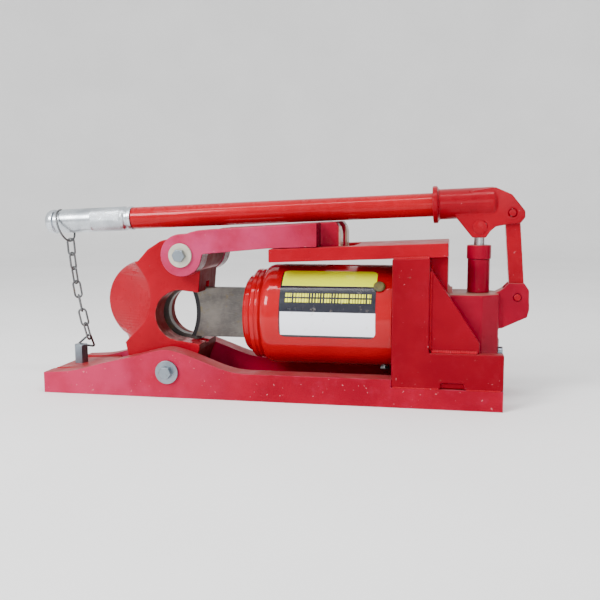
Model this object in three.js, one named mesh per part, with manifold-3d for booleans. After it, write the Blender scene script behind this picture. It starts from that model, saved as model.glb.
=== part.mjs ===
// Hydraulic wire-rope cutter: a hinged cutting head on a long welded base, closed by a hand-pumped ram.
// Millimetres. x runs from the nose of the base to the pump, y across with the front at -y,
// and z up from the underside.
import * as THREE from "three";
import { mergeVertices } from "three/addons/utils/BufferGeometryUtils.js";
import Module from "manifold-3d";

const wasm = await Module();
wasm.setup();

// ---- driving dimensions ----
const GAP = 0.3; // between parts that touch
const RUN = 0.3; // radial running clearance
const BASE_LENGTH = 540;
const BASE_HALF = 65;
const CHEEK_THICK = 25;
const FLOOR_THICK = 8;
const CHEEK_LOW = 22.5;
const CHEEK_STEP = 418.3;
const NOSE_LENGTH = 70;
const NOSE_TOP = 27;

const AXIS_Z = 94.4; // the ram's axis
const RESERVOIR_R = 59.9;
const RESERVOIR_FROM = 266.3;
const RESERVOIR_TO = 418.3;
const CYLINDER_R = 48;
const BORE_R = 38.3;
const RAM_R = 33;

const FRAME_THICK = 15;
const UPRIGHT_FROM = 418.6;
const UPRIGHT_TO = 459.6;
const FOOT_TOP = 62.4;
const REACTION_TO = 478.5;
const RAIL_FROM = 279;
const RAIL_HALF = 62;
const RAIL_THICK = 15;
const RAIL_RISE = 0.04; // the rail climbs gently towards the pump
const RAIL_START_Z = 159.8;
const WINDOW_FROM = 333.5;
const WINDOW_TO = 372;
const WINDOW_HALF = 37.5;

const HEAD_HALF = 34;
const LOWER_PIN = { x: 157.3, z: 30.5 };
const UPPER_PIN = { x: 175.3, z: 167 };
const PIN_R = 12;
const JAW = { x: 163, z: 93.1, r: 30.2 };
const BLADE_HALF = 6; // half thickness
const BLADE_TALL = 60.4;

const ARM_INNER = 36;
const ARM_OUTER = 61;
const EYE_R = 24.6;
const TOOTH_INNER = 17;
const TOOTH_TIP_X = 358;
const TOOTH_FACE_X = 337;
const TOOTH_LOW_Z = 170.5;

const HANDLE_R = 13.5;
const HANDLE_AT = { x: 99.6, z: 209 };
const HANDLE_RISE = Math.atan(0.0421);
const PLUNGER_X = 512.5;
const PLUNGER_PIN_Z = 199;
const LINK_TOP = { x: 548, z: 215 };
const LINK_LOW = { x: 555.6, z: 120 };
const EAR_INNER = 8.4;
const EAR_OUTER = 12.6;

const CHAIN_WIRE = 1.25;
const CHAIN_LINKS = 7;
const CHAIN_TOP = { x: 8.2, z: 181.5 };
const CHAIN_DROP = 125;
const CHAIN_SIDE = { straight: 7, curved: 14 }; // how far the chain drifts towards the stud
const LINK_WIDE = 11.4;
const STUD = { x: 17.5, r: 9, top: 48.5 };

const ROUND = 32; // sides of large round parts
const SMALL = 20; // sides of small round parts
const ACROSS = 80; // half length of a drill that passes through everything

// ---- solids ----
function solid(geometry) {
  const bare = geometry.index ? geometry.toNonIndexed() : geometry.clone();
  bare.deleteAttribute("normal");
  bare.deleteAttribute("uv");
  const merged = mergeVertices(bare, 1e-3);
  const triVerts = new Uint32Array(merged.index.array);
  const vertProperties = new Float32Array(merged.attributes.position.array);
  const made = new wasm.Manifold(new wasm.Mesh({ numProp: 3, vertProperties, triVerts }));
  if (made.volume() > 0) return made;
  for (let i = 0; i < triVerts.length; i += 3) {
    [triVerts[i], triVerts[i + 1]] = [triVerts[i + 1], triVerts[i]];
  }
  return new wasm.Manifold(new wasm.Mesh({ numProp: 3, vertProperties, triVerts }));
}

function geometryOf(body) {
  const mesh = body.getMesh();
  const geometry = new THREE.BufferGeometry();
  const corners = new THREE.BufferAttribute(new Float32Array(mesh.vertProperties), 3);
  geometry.setAttribute("position", corners);
  geometry.setIndex(new THREE.BufferAttribute(new Uint32Array(mesh.triVerts), 1));
  const flat = geometry.toNonIndexed();
  flat.computeVertexNormals();
  return flat;
}

const join = (first, ...others) => others.reduce((sum, next) => sum.add(next), first);
const cut = (first, ...others) => others.reduce((rest, next) => rest.subtract(next), first);

function outline(points) {
  return new THREE.Shape(points.map(([x, z]) => new THREE.Vector2(x, z)));
}

// An xz outline made solid from y0 to y1.
function slab(shape, y0, y1, curveSegments = 12) {
  const options = { depth: y1 - y0, bevelEnabled: false, curveSegments };
  const geometry = new THREE.ExtrudeGeometry(shape, options);
  return solid(geometry.rotateX(Math.PI / 2).translate(0, y1, 0));
}

function box(x0, x1, y0, y1, z0, z1) {
  const geometry = new THREE.BoxGeometry(x1 - x0, y1 - y0, z1 - z0);
  return solid(geometry.translate((x0 + x1) / 2, (y0 + y1) / 2, (z0 + z1) / 2));
}

// Profiles are [radius, distance along the axis] and close on themselves or on the axis.
function turned(profile, sides) {
  const points = profile.map(([r, along]) => new THREE.Vector2(r, along));
  return new THREE.LatheGeometry(points, sides);
}

function turnedX(profile, y = 0, z = AXIS_Z, sides = ROUND) {
  return solid(turned(profile, sides).rotateZ(-Math.PI / 2).translate(0, y, z));
}

function turnedY(profile, x, z, sides = SMALL) {
  return solid(turned(profile, sides).translate(x, 0, z));
}

function turnedZ(profile, x, y = 0, sides = SMALL) {
  return solid(turned(profile, sides).rotateX(Math.PI / 2).translate(x, y, 0));
}

const rod = (r, from, to) => [[0, from], [r, from], [r, to], [0, to]];
const tube = (inner, outer, from, to) => [
  [inner, from],
  [outer, from],
  [outer, to],
  [inner, to],
  [inner, from],
];

// ---- materials ----
const paint = (color, roughness = 0.35) =>
  new THREE.MeshStandardMaterial({ color, roughness, metalness: 0.1 });
const metal = (color, roughness) =>
  new THREE.MeshStandardMaterial({ color, roughness, metalness: 0.9 });
const RED = paint(0xc01018);
const CAST_RED = paint(0xc81420, 0.45);
const GLOSS_RED = paint(0xd0100c, 0.2);
const ZINC = metal(0x9aa2a8, 0.35);
const STEEL = metal(0x8c8a80, 0.45);
const BRIGHT = metal(0xb0b4b6, 0.3);
const DARK = metal(0x4c5052, 0.5);
const RUBBER = new THREE.MeshStandardMaterial({ color: 0x6b5b2a, roughness: 0.8, metalness: 0 });

const root = new THREE.Group();
root.position.x = -BASE_LENGTH / 2;

function place(name, body, material) {
  const mesh = new THREE.Mesh(geometryOf(body), material);
  mesh.name = name;
  root.add(mesh);
}

// ---- welded base ----
function cheekShape() {
  const hump = [
    [0, 24.5], [38, 28], [78, 38.5], [116, 47.5], [140, 54], [157, 56.6],
    [176, 52.6], [198, 45], [216, 38.4], [233, 33.4], [250, 31.4], [268, 31.4],
  ];
  const shape = new THREE.Shape();
  shape.moveTo(0, 0);
  shape.lineTo(...hump[0]);
  shape.splineThru(hump.slice(1).map(([x, z]) => new THREE.Vector2(x, z)));
  shape.lineTo(CHEEK_STEP, 31.4);
  shape.lineTo(CHEEK_STEP, CHEEK_LOW);
  shape.lineTo(BASE_LENGTH, CHEEK_LOW);
  shape.lineTo(BASE_LENGTH, 0);
  return shape;
}

function cheek(side) {
  const inner = BASE_HALF - CHEEK_THICK;
  const [y0, y1] = side < 0 ? [-BASE_HALF, -inner] : [inner, BASE_HALF];
  const bore = turnedY(rod(PIN_R + RUN, -ACROSS, ACROSS), LOWER_PIN.x, LOWER_PIN.z);
  return cut(slab(cheekShape(), y0, y1, 3), bore);
}

const INSIDE = BASE_HALF - CHEEK_THICK - GAP;
place("base_plate", box(0, BASE_LENGTH, -INSIDE, INSIDE, 0, FLOOR_THICK), RED);
place("front_cheek", cheek(-1), CAST_RED);
place("rear_cheek", cheek(1), CAST_RED);

const noseBlock = outline([
  [0, FLOOR_THICK + GAP],
  [NOSE_LENGTH, FLOOR_THICK + GAP],
  [NOSE_LENGTH - 14, NOSE_TOP],
  [0, NOSE_TOP - 3],
]);
place("nose_block", slab(noseBlock, -INSIDE, INSIDE), RED);

function chainStud() {
  const seat = NOSE_TOP - 3 + ((STUD.x + STUD.r) / (NOSE_LENGTH - 14)) * 3 + GAP;
  return turnedZ(
    [[0, seat], [STUD.r, seat], [STUD.r, STUD.top - 2], [STUD.r - 2, STUD.top], [0, STUD.top]],
    STUD.x, 0, 6,
  );
}
place("chain_stud", chainStud(), ZINC);

// ---- frame round the jack ----
const railLow = (x) => RAIL_START_Z + (x - RAIL_FROM) * RAIL_RISE;

const PLATE_INNER = BASE_HALF - FRAME_THICK;
const POCKET = { from: 473, to: 498, top: 29.5, deep: 3 }; // in the outer face of each foot
function sidePlate(side) {
  const shape = outline([
    [UPRIGHT_FROM, CHEEK_LOW + GAP],
    [BASE_LENGTH, CHEEK_LOW + GAP],
    [BASE_LENGTH, FOOT_TOP],
    [UPRIGHT_TO, FOOT_TOP],
    [UPRIGHT_TO, railLow(UPRIGHT_TO) - GAP],
    [UPRIGHT_FROM, railLow(UPRIGHT_FROM) - GAP],
  ]);
  const [y0, y1] = side < 0 ? [-BASE_HALF, -PLATE_INNER] : [PLATE_INNER, BASE_HALF];
  const [p0, p1] = side < 0 ? [-ACROSS, POCKET.deep - BASE_HALF] : [BASE_HALF - POCKET.deep, ACROSS];
  return cut(slab(shape, y0, y1), box(POCKET.from, POCKET.to, p0, p1, 0, POCKET.top));
}
place("front_side_plate", sidePlate(-1), RED);
place("rear_side_plate", sidePlate(1), RED);

const GUSSET = { inner: 51, outer: 60, tip: 514, low: 74, high: 156 };
const gussetShape = outline([
  [UPRIGHT_TO + GAP, FOOT_TOP + GAP],
  [GUSSET.tip, FOOT_TOP + GAP],
  [GUSSET.tip, GUSSET.low],
  [UPRIGHT_TO + GAP, GUSSET.high],
]);
place("front_gusset", slab(gussetShape, -GUSSET.outer, -GUSSET.inner), RED);
place("rear_gusset", slab(gussetShape, GUSSET.inner, GUSSET.outer), RED);

const REACTION_HOLE = 36;
const REACTION_HALF = PLATE_INNER - GAP;
function reactionPlate() {
  const plate = slab(
    outline([
      [UPRIGHT_TO + GAP, FLOOR_THICK + GAP],
      [REACTION_TO, FLOOR_THICK + GAP],
      [REACTION_TO, railLow(REACTION_TO) - GAP],
      [UPRIGHT_TO + GAP, railLow(UPRIGHT_TO) - GAP],
    ]),
    -REACTION_HALF, REACTION_HALF,
  );
  const hole = turnedX(rod(REACTION_HOLE, UPRIGHT_TO - 5, REACTION_TO + 5));
  const [x0, x1] = [UPRIGHT_TO - 5, REACTION_TO + 5];
  const sides = [[-ACROSS, -INSIDE], [INSIDE, ACROSS]].map(([y0, y1]) =>
    box(x0, x1, y0, y1, 0, CHEEK_LOW + GAP));
  return cut(plate, hole, ...sides);
}
place("reaction_plate", reactionPlate(), RED);

function topRail() {
  const rail = slab(
    outline([
      [RAIL_FROM, railLow(RAIL_FROM)],
      [REACTION_TO, railLow(REACTION_TO)],
      [REACTION_TO, railLow(REACTION_TO) + RAIL_THICK],
      [RAIL_FROM, railLow(RAIL_FROM) + RAIL_THICK],
    ]),
    -RAIL_HALF, RAIL_HALF,
  );
  return cut(rail, box(WINDOW_FROM, WINDOW_TO, -WINDOW_HALF, WINDOW_HALF, AXIS_Z, 2 * AXIS_Z));
}
place("top_rail", topRail(), RED);

// ---- jack ----
const PLUG_ANGLE = THREE.MathUtils.degToRad(39.4);
const DRAIN_ANGLE = THREE.MathUtils.degToRad(-70);
const PLUG_X = 403.3;
const DRAIN_X = 408;

// A body turned about z, laid radially out of the reservoir at an angle above the front horizon.
function radial(profile, x, angle, sides) {
  const geometry = turned(profile, sides).rotateX(Math.PI / 2).rotateX(Math.PI / 2 - angle);
  return solid(geometry.translate(x, 0, AXIS_Z));
}

function reservoir() {
  const wall = 4;
  const seat = CYLINDER_R + RUN;
  const shoulder = [];
  for (let i = 0; i <= 3; i += 1) {
    const turn = (i / 3) * (Math.PI / 2);
    shoulder.push([54 + 5.9 * Math.sin(turn), RESERVOIR_FROM + 11 * (1 - Math.cos(turn))]);
  }
  const shell = turnedX([
    [seat, RESERVOIR_FROM],
    ...shoulder,
    [RESERVOIR_R, RESERVOIR_TO],
    [seat, RESERVOIR_TO],
    [seat, RESERVOIR_TO - 2 * wall],
    [RESERVOIR_R - wall, RESERVOIR_TO - 2 * wall],
    [RESERVOIR_R - wall, RESERVOIR_FROM + 12],
    [seat, RESERVOIR_FROM + 12],
    [seat, RESERVOIR_FROM],
  ], 0, AXIS_Z, 40);
  const plugHole = radial(rod(5.8, 40, 70), PLUG_X, PLUG_ANGLE, SMALL);
  const drainHole = radial(rod(4.3, 40, 70), DRAIN_X, DRAIN_ANGLE, SMALL);
  return cut(shell, plugHole, drainHole);
}
place("reservoir_tube", reservoir(), GLOSS_RED);

place("filler_plug", radial([
  [0, 52], [5.4, 52], [5.4, 60.6], [6.6, 60.6], [6.6, 62], [5, 63.4], [0, 63.4],
], PLUG_X, PLUG_ANGLE, SMALL), RUBBER);
place("drain_plug", join(
  radial(rod(4, 54, 61.5), DRAIN_X, DRAIN_ANGLE, SMALL),
  radial(rod(5.6, 60.6, 64), DRAIN_X, DRAIN_ANGLE, 6),
), ZINC);

const GLAND = { from: 243, to: 251, r: 45.7 };
place("gland_ring", turnedX([
  [RAM_R + 0.6, GLAND.from],
  [GLAND.r - 2.5, GLAND.from],
  [GLAND.r, GLAND.from + 2.5],
  [GLAND.r, GLAND.to],
  [RAM_R + 0.6, GLAND.to],
  [RAM_R + 0.6, 249],
  [RAM_R + 4, 249],
  [RAM_R + 4, 245],
  [RAM_R + 0.6, 245],
  [RAM_R + 0.6, GLAND.from],
], 0, AXIS_Z, 36), GLOSS_RED);
place("wiper_seal", turnedX(tube(RAM_R + 0.3, RAM_R + 3.7, 245.3, 248.7)), RUBBER);
place("top_nut", turnedX([
  [RAM_R + 0.6, GLAND.to + GAP],
  [50.7, GLAND.to + GAP],
  [53.7, 254.3],
  [53.7, 263],
  [51.5, RESERVOIR_FROM - GAP],
  [RAM_R + 0.6, RESERVOIR_FROM - GAP],
  [RAM_R + 0.6, GLAND.to + GAP],
], 0, AXIS_Z, 36), GLOSS_RED);
place("pressure_cylinder", turnedX([
  [BORE_R, RESERVOIR_FROM + GAP],
  [CYLINDER_R, RESERVOIR_FROM + GAP],
  [CYLINDER_R, UPRIGHT_TO],
  [3, UPRIGHT_TO],
  [3, 438],
  [BORE_R, 438],
  [BORE_R, RESERVOIR_FROM + GAP],
]), STEEL);

const BLADE_SLOT = { from: 249, to: 289, half: BLADE_HALF + GAP };
const BLADE_PIN = { x: 272, r: 5, half: 31.5 };
function ram() {
  const bar = turnedX([[0, 250.5], [RAM_R - 1.5, 250.5], [RAM_R, 252], [RAM_R, 411.7], [0, 411.7]]);
  const slot = box(BLADE_SLOT.from, BLADE_SLOT.to, -BLADE_SLOT.half, BLADE_SLOT.half, 0, 2 * AXIS_Z);
  const pinHole = turnedY(rod(BLADE_PIN.r + RUN, -ACROSS, ACROSS), BLADE_PIN.x, AXIS_Z);
  return cut(bar, slot, pinHole);
}
place("ram", ram(), BRIGHT);
place("piston", turnedX([
  [0, 412], [38, 412], [38, 419.7], [35, 419.7], [35, 425.3], [38, 425.3], [38, 432], [0, 432],
]), STEEL);
place("piston_seal", turnedX(tube(35.3, 38.1, 420, 425)), RUBBER);

function movingBlade() {
  const low = AXIS_Z - BLADE_TALL / 2;
  const high = AXIS_Z + BLADE_TALL / 2;
  const tip = 168;
  const heel = 288; // in the ram's slot
  const hollow = 14; // how deep the edge's curve is drawn
  const shape = new THREE.Shape();
  shape.moveTo(tip, low);
  shape.lineTo(heel, low);
  shape.lineTo(heel, high);
  shape.lineTo(tip, high);
  shape.quadraticCurveTo(tip + hollow, AXIS_Z, tip, low);
  const plate = slab(shape, -BLADE_HALF, BLADE_HALF, 14);
  const pinHole = turnedY(rod(BLADE_PIN.r + RUN, -ACROSS, ACROSS), BLADE_PIN.x, AXIS_Z);
  return cut(plate, pinHole);
}
place("moving_blade", movingBlade(), STEEL);
const bladePin = rod(BLADE_PIN.r, -BLADE_PIN.half, BLADE_PIN.half);
place("blade_pin", turnedY(bladePin, BLADE_PIN.x, AXIS_Z), ZINC);

// ---- cutting head ----
const BACK = { x: 109.6, z: 106.3, r: 51 };
function headShape() {
  const shape = new THREE.Shape();
  shape.moveTo(187, 121);
  shape.lineTo(189.5, 148);
  shape.absarc(UPPER_PIN.x, UPPER_PIN.z, 24, -0.9, 2.1, false);
  shape.lineTo(141, 182.5);
  shape.lineTo(124, 172);
  shape.absarc(BACK.x, BACK.z, BACK.r, 1.55, 4.38, false);
  shape.lineTo(96.5, 40);
  shape.lineTo(112, 27);
  shape.absarc(LOWER_PIN.x, LOWER_PIN.z, 21, 3.9, 6.28, false);
  shape.lineTo(187, 52);
  shape.lineTo(187, 58.5);
  shape.absarc(JAW.x, JAW.z, JAW.r, -1.75, 1.5, true);
  return shape;
}

// Each side of the head's back is dressed off between its outline and a curved crease on its flat face.
// A station is the crease's height and its x.
const DRESSED = [
  [45, 88], [58, 92], [84, 118.5], [110, 126.8], [134, 123], [157.6, 107], [172, 92],
];
function dressing(side) {
  const clear = 20; // left of the head
  const land = 1.6; // kept at the middle of the back
  const level = ([z, crease]) => {
    const back = BACK.x - Math.sqrt(Math.max(0, BACK.r ** 2 - (z - BACK.z) ** 2)) - land;
    return [
      [crease, side * HEAD_HALF, z],
      [Math.min(back, crease - 1), 0, z],
      [clear, 0, z],
      [clear, side * ACROSS, z],
      [crease, side * ACROSS, z],
    ];
  };
  const between = (lower, upper) => wasm.Manifold.hull([...level(lower), ...level(upper)]);
  return join(...DRESSED.slice(1).map((upper, i) => between(DRESSED[i], upper)));
}

// A prism over an xy outline, from z0 to z1.
function column(points, z0, z1) {
  const shape = new THREE.Shape(points.map(([x, y]) => new THREE.Vector2(x, y)));
  const geometry = new THREE.ExtrudeGeometry(shape, { depth: z1 - z0, bevelEnabled: false });
  return solid(geometry.translate(0, 0, z0));
}

const GUIDE_REACH = 38; // room for the blade's corners as the head swings
const FIXED = { from: 6.9, to: 16.9, inner: 28.6, outer: 36 };
function ringSector(inner, outer, y0, y1) {
  const shape = new THREE.Shape();
  const open = 1.15;
  shape.absarc(JAW.x, JAW.z, outer, open, 2 * Math.PI - open, false);
  shape.absarc(JAW.x, JAW.z, inner, 2 * Math.PI - open, open, true);
  return slab(shape, y0, y1, 12);
}

function head() {
  const block = slab(headShape(), -HEAD_HALF, HEAD_HALF, 14);
  const upperBoss = turnedY(rod(22.5, -ARM_INNER + GAP, ARM_INNER - GAP), UPPER_PIN.x, UPPER_PIN.z, ROUND);
  const lowerBoss = turnedY(rod(20, -INSIDE, INSIDE), LOWER_PIN.x, LOWER_PIN.z, ROUND);
  const slot = BLADE_HALF + GAP;
  const guide = box(118, 200, -slot, slot, AXIS_Z - GUIDE_REACH, AXIS_Z + GUIDE_REACH);
  const seat = ringSector(20, FIXED.outer + GAP, BLADE_HALF, FIXED.to + GAP);
  const upperBore = turnedY(rod(PIN_R + RUN, -ACROSS, ACROSS), UPPER_PIN.x, UPPER_PIN.z, ROUND);
  const lowerBore = turnedY(rod(PIN_R + RUN, -ACROSS, ACROSS), LOWER_PIN.x, LOWER_PIN.z, ROUND);
  const whole = join(block, upperBoss, lowerBoss);
  return cut(whole, guide, seat, upperBore, lowerBore, dressing(-1), dressing(1));
}
place("cutting_head", head(), CAST_RED);
place("fixed_blade", ringSector(FIXED.inner, FIXED.outer, FIXED.from, FIXED.to), STEEL);

// ---- hinge pins with end screws and washers ----
const WASHER = { r: 13.8, thick: 3 };
const SCREW = { shank: 4.7, hex: 7.6, head: 6.6, depth: 14 };

function hinge(name, at, reach) {
  const hole = SCREW.depth + 2;
  const bore = SCREW.shank + RUN;
  place(name + "_pin", turnedY([
    [0, hole - reach], [bore, hole - reach], [bore, -reach], [PIN_R, -reach],
    [PIN_R, reach], [bore, reach], [bore, reach - hole], [0, reach - hole],
  ], at.x, at.z, ROUND), BRIGHT);
  for (const [side, sign] of [["front", -1], ["rear", 1]]) {
    const seat = reach + GAP;
    const under = seat + WASHER.thick + GAP;
    const along = (pairs) => pairs.map(([r, y]) => [r, sign * y]);
    const washer = along(tube(SCREW.shank + RUN, WASHER.r, seat, seat + WASHER.thick));
    place(`${name}_washer_${side}`, turnedY(washer, at.x, at.z, ROUND), ZINC);
    const shank = turnedY(along(rod(SCREW.shank, reach - SCREW.depth, under + 1)), at.x, at.z);
    const crown = under + SCREW.head;
    const hex = turnedY(along([
      [0, under], [SCREW.hex, under], [SCREW.hex, crown - 1], [SCREW.hex - 1, crown], [0, crown],
    ]), at.x, at.z, 6);
    place(`${name}_screw_${side}`, join(shank, hex), ZINC);
  }
}
hinge("lower", LOWER_PIN, BASE_HALF);
hinge("upper", UPPER_PIN, ARM_OUTER);

// ---- latch arm: two side links joined by a tie bar, each with a tooth that drops in the rail window ----
const railTop = (x) => railLow(x) + RAIL_THICK + 2 * GAP;
function armPlate() {
  const end = 334.5;
  const shape = new THREE.Shape();
  shape.moveTo(201, 168.6);
  shape.lineTo(RAIL_FROM - 3, railTop(RAIL_FROM));
  shape.lineTo(end, railTop(end));
  shape.lineTo(end, 204.3);
  shape.lineTo(203, 196.6);
  shape.quadraticCurveTo(190, 195.4, 180, 191);
  shape.absarc(UPPER_PIN.x, UPPER_PIN.z, EYE_R, 1.4, 6.1, false);
  return shape;
}

function toothShape() {
  const over = railTop(TOOTH_FACE_X);
  return outline([
    [316, over], [TOOTH_FACE_X, over], [TOOTH_FACE_X, TOOTH_LOW_Z], [TOOTH_TIP_X, TOOTH_LOW_Z],
    [TOOTH_TIP_X, 192], [356.5, 199], [352, 205.2], [316, 203],
  ]);
}

const TIE = { x: 203, z: 176, r: 4, half: ARM_INNER + 6 };
function arm(side) {
  const span = (a, b) => (side < 0 ? [-b, -a] : [a, b]);
  const plate = slab(armPlate(), ...span(ARM_INNER, ARM_OUTER), 20);
  const tooth = slab(toothShape(), ...span(TOOTH_INNER, ARM_INNER + 1));
  const bore = turnedY(rod(PIN_R + RUN, -ACROSS, ACROSS), UPPER_PIN.x, UPPER_PIN.z, ROUND);
  const tieHole = turnedY(rod(TIE.r + GAP, ...span(0, TIE.half + 1)), TIE.x, TIE.z);
  return cut(join(plate, tooth), bore, tieHole);
}
place("front_arm", arm(-1), CAST_RED);
place("rear_arm", arm(1), CAST_RED);
place("arm_tie_bar", turnedY(rod(TIE.r, -TIE.half, TIE.half), TIE.x, TIE.z), RED);

// ---- pump ----
const BARREL = { r: 12.6, from: 124.4, to: 162.2, bore: 6.4 };
const VALVE = { y: -11, z: 57, r: 4 };
const SMALL_PIN_R = 4;
const smallBore = (at) => turnedY(rod(SMALL_PIN_R + RUN, -ACROSS, ACROSS), at.x, at.z);
const PLUNGER_EYE = { x: PLUNGER_X, z: PLUNGER_PIN_Z };

function pumpBlock() {
  const half = 35;
  const back = REACTION_TO + GAP;
  const plan = [[back, -half], [516, -half], [535.3, -20], [535.3, 20], [516, half], [back, half]];
  const block = column(plan, FLOOR_THICK + GAP, 124);
  const neck = turnedX(rod(REACTION_HOLE - GAP, UPRIGHT_TO + GAP, REACTION_TO + 5));
  const lug = slab(outline([
    [530, 84], [539, 84], [567, 97.5], [569, 106], [568.4, 128],
    [563, 136], [546, 136], [539, 129], [530, 124],
  ]), -EAR_OUTER, EAR_OUTER);
  const lugSlot = box(540.5, 575, -EAR_INNER, EAR_INNER, 101, 140);
  const pinHole = smallBore(LINK_LOW);
  const bore = turnedZ(rod(BARREL.bore, 70, 130), PLUNGER_X);
  const valveHole = turnedX(rod(VALVE.r + RUN, 515, 540), VALVE.y, VALVE.z, SMALL);
  return cut(join(block, neck, lug), lugSlot, pinHole, bore, valveHole);
}
place("pump_block", pumpBlock(), RED);
place("check_ball", solid(new THREE.SphereGeometry(5, 12, 8).translate(PLUNGER_X, 0, 75.3)), BRIGHT);
place("pump_barrel", turnedZ(tube(BARREL.bore, BARREL.r, BARREL.from, BARREL.to), PLUNGER_X), RED);
place("packing_nut", turnedZ(tube(BARREL.bore, 13.7, BARREL.to + GAP, 178.4), PLUNGER_X), RED);
place("release_valve", join(
  turnedX(rod(VALVE.r, 518, 537), VALVE.y, VALVE.z, SMALL),
  turnedX(rod(VALVE.r + 2.2, 535.6, 541), VALVE.y, VALVE.z, SMALL),
), ZINC);

function plunger() {
  const bar = turnedZ(rod(6, 90, 196), PLUNGER_X);
  const eye = turnedY(rod(8, -8, 8), PLUNGER_EYE.x, PLUNGER_EYE.z);
  return cut(join(bar, eye), smallBore(PLUNGER_EYE));
}
place("plunger", plunger(), BRIGHT);
const PIN_END = EAR_OUTER + 1.9;
function smallPin(at) {
  return turnedY(rod(SMALL_PIN_R, -PIN_END, PIN_END), at.x, at.z);
}

// This pin's heads cover the slots in the lever's ears.
function headedPin(at) {
  const under = EAR_OUTER + GAP;
  const profile = [[0, under], [7.6, under], [7.6, PIN_END - 0.6], [5, PIN_END], [0, PIN_END]];
  const heads = [-1, 1].map((s) => turnedY(profile.map(([r, y]) => [r, s * y]), at.x, at.z, ROUND));
  return join(smallPin(at), ...heads);
}
place("plunger_pin", headedPin(PLUNGER_EYE), RED);

function link() {
  const half = 8.2;
  const thick = EAR_INNER - 0.5;
  const ends = [LINK_TOP, LINK_LOW];
  const bar = slab(outline([
    [LINK_LOW.x - half, LINK_LOW.z], [LINK_LOW.x + half, LINK_LOW.z],
    [LINK_TOP.x + half, LINK_TOP.z], [LINK_TOP.x - half, LINK_TOP.z],
  ]), -thick, thick);
  const eyes = ends.map((p) => turnedY(rod(half + 1.3, -thick, thick), p.x, p.z));
  return cut(join(bar, ...eyes), ...ends.map(smallBore));
}
place("link", link(), RED);
place("link_top_pin", smallPin(LINK_TOP), RED);
place("link_low_pin", smallPin(LINK_LOW), RED);

// ---- lever, handle and grip, turned about the sloping handle axis ----
const tilt = new THREE.Matrix4()
  .makeTranslation(HANDLE_AT.x, 0, HANDLE_AT.z)
  .multiply(new THREE.Matrix4().makeRotationY(-HANDLE_RISE));

function onHandle(profile, sides = ROUND) {
  const shifted = profile.map(([r, x]) => [r, x - HANDLE_AT.x]);
  return solid(turned(shifted, sides).rotateZ(-Math.PI / 2).applyMatrix4(tilt));
}

const SOCKET = { r: 17.3, from: 460, to: 531, bore: HANDLE_R + 0.35, depth: 523 };
const PIN_TRAVEL = [-2, -0.65, 0.7, 2.05, 3.4]; // stations of the plunger pin's slot, towards the link
function lever() {
  const socket = onHandle([
    [0, SOCKET.from], [21.3, SOCKET.from], [21.3, 465.5], [SOCKET.r, 467],
    [SOCKET.r, SOCKET.to - 3], [SOCKET.r - 3, SOCKET.to], [0, SOCKET.to],
  ]);
  const fork = slab(outline([
    [484, 214], [487, 208.5], [504.5, 187], [519.5, 187], [524, 194], [530, 199.5], [540, 201.5],
    [557, 203.5], [562, 210], [561.8, 217], [547, 235.5], [529, 243.5], [505, 240],
  ]), -EAR_OUTER, EAR_OUTER);
  const plungerSlot = box(495, 580, -EAR_INNER, EAR_INNER, 170, 209.5);
  const linkSlot = box(535.5, 580, -EAR_INNER, EAR_INNER, 170, 228);
  const bore = onHandle(rod(SOCKET.bore, SOCKET.from - 5, SOCKET.depth));
  const aim = Math.atan2(LINK_TOP.z - PLUNGER_PIN_Z, LINK_TOP.x - PLUNGER_X);
  const slide = PIN_TRAVEL.map((d) => turnedY(
    rod(SMALL_PIN_R + 0.7, -ACROSS, ACROSS),
    PLUNGER_EYE.x + d * Math.cos(aim),
    PLUNGER_EYE.z + d * Math.sin(aim),
  ));
  return cut(join(socket, fork), plungerSlot, linkSlot, bore, smallBore(LINK_TOP), ...slide);
}
place("lever_socket", lever(), CAST_RED);

place("handle_tube", onHandle(tube(10.5, HANDLE_R, 94, SOCKET.depth - 1)), GLOSS_RED);
place("grip", onHandle([
  [0, -21.6], [8, -21.4], [13, -19], [15, -14], [15, -10], [12.4, -9], [12.4, -1], [15, 0],
  [15, 84], [13, 85.5], [13, 88.5], [14.6, 89.5], [14.6, 93.6], [10.2, 93.6], [10.2, 118], [0, 118],
], 24), STEEL);

// ---- stowage chain: closed round-wire links, made by drawing a ring out along its length ----
function stretchedRing(radius, stretch) {
  const round = 12;
  const geometry = new THREE.TorusGeometry(radius, CHAIN_WIRE, 5, round);
  geometry.rotateZ(Math.PI / round);
  const corners = geometry.attributes.position;
  for (let i = 0; i < corners.count; i += 1) {
    corners.setY(i, corners.getY(i) + Math.sign(corners.getY(i)) * stretch);
  }
  return geometry;
}

function chainPoint(t) {
  const drift = CHAIN_SIDE.straight * t + CHAIN_SIDE.curved * t * t;
  return new THREE.Vector3(CHAIN_TOP.x + drift, 0, CHAIN_TOP.z - t * CHAIN_DROP);
}

const MESHING = CHAIN_WIRE + 0.3; // half the overlap of neighbouring links' centre lines
function chainLink(i) {
  const from = chainPoint(i / CHAIN_LINKS);
  const to = chainPoint((i + 1) / CHAIN_LINKS);
  const radius = LINK_WIDE / 2 - CHAIN_WIRE;
  const geometry = stretchedRing(radius, from.distanceTo(to) / 2 + MESHING - radius);
  const roll = (i / (CHAIN_LINKS - 1)) * 2.5 * Math.PI; // the last link ends up edge-on
  geometry.rotateX(Math.PI / 2).rotateZ(roll).rotateY(-Math.atan2(to.x - from.x, from.z - to.z));
  return solid(geometry.translate((from.x + to.x) / 2, 0, (from.z + to.z) / 2));
}
for (let i = 0; i < CHAIN_LINKS; i += 1) place(`chain_link_${i + 1}`, chainLink(i), DARK);

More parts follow.
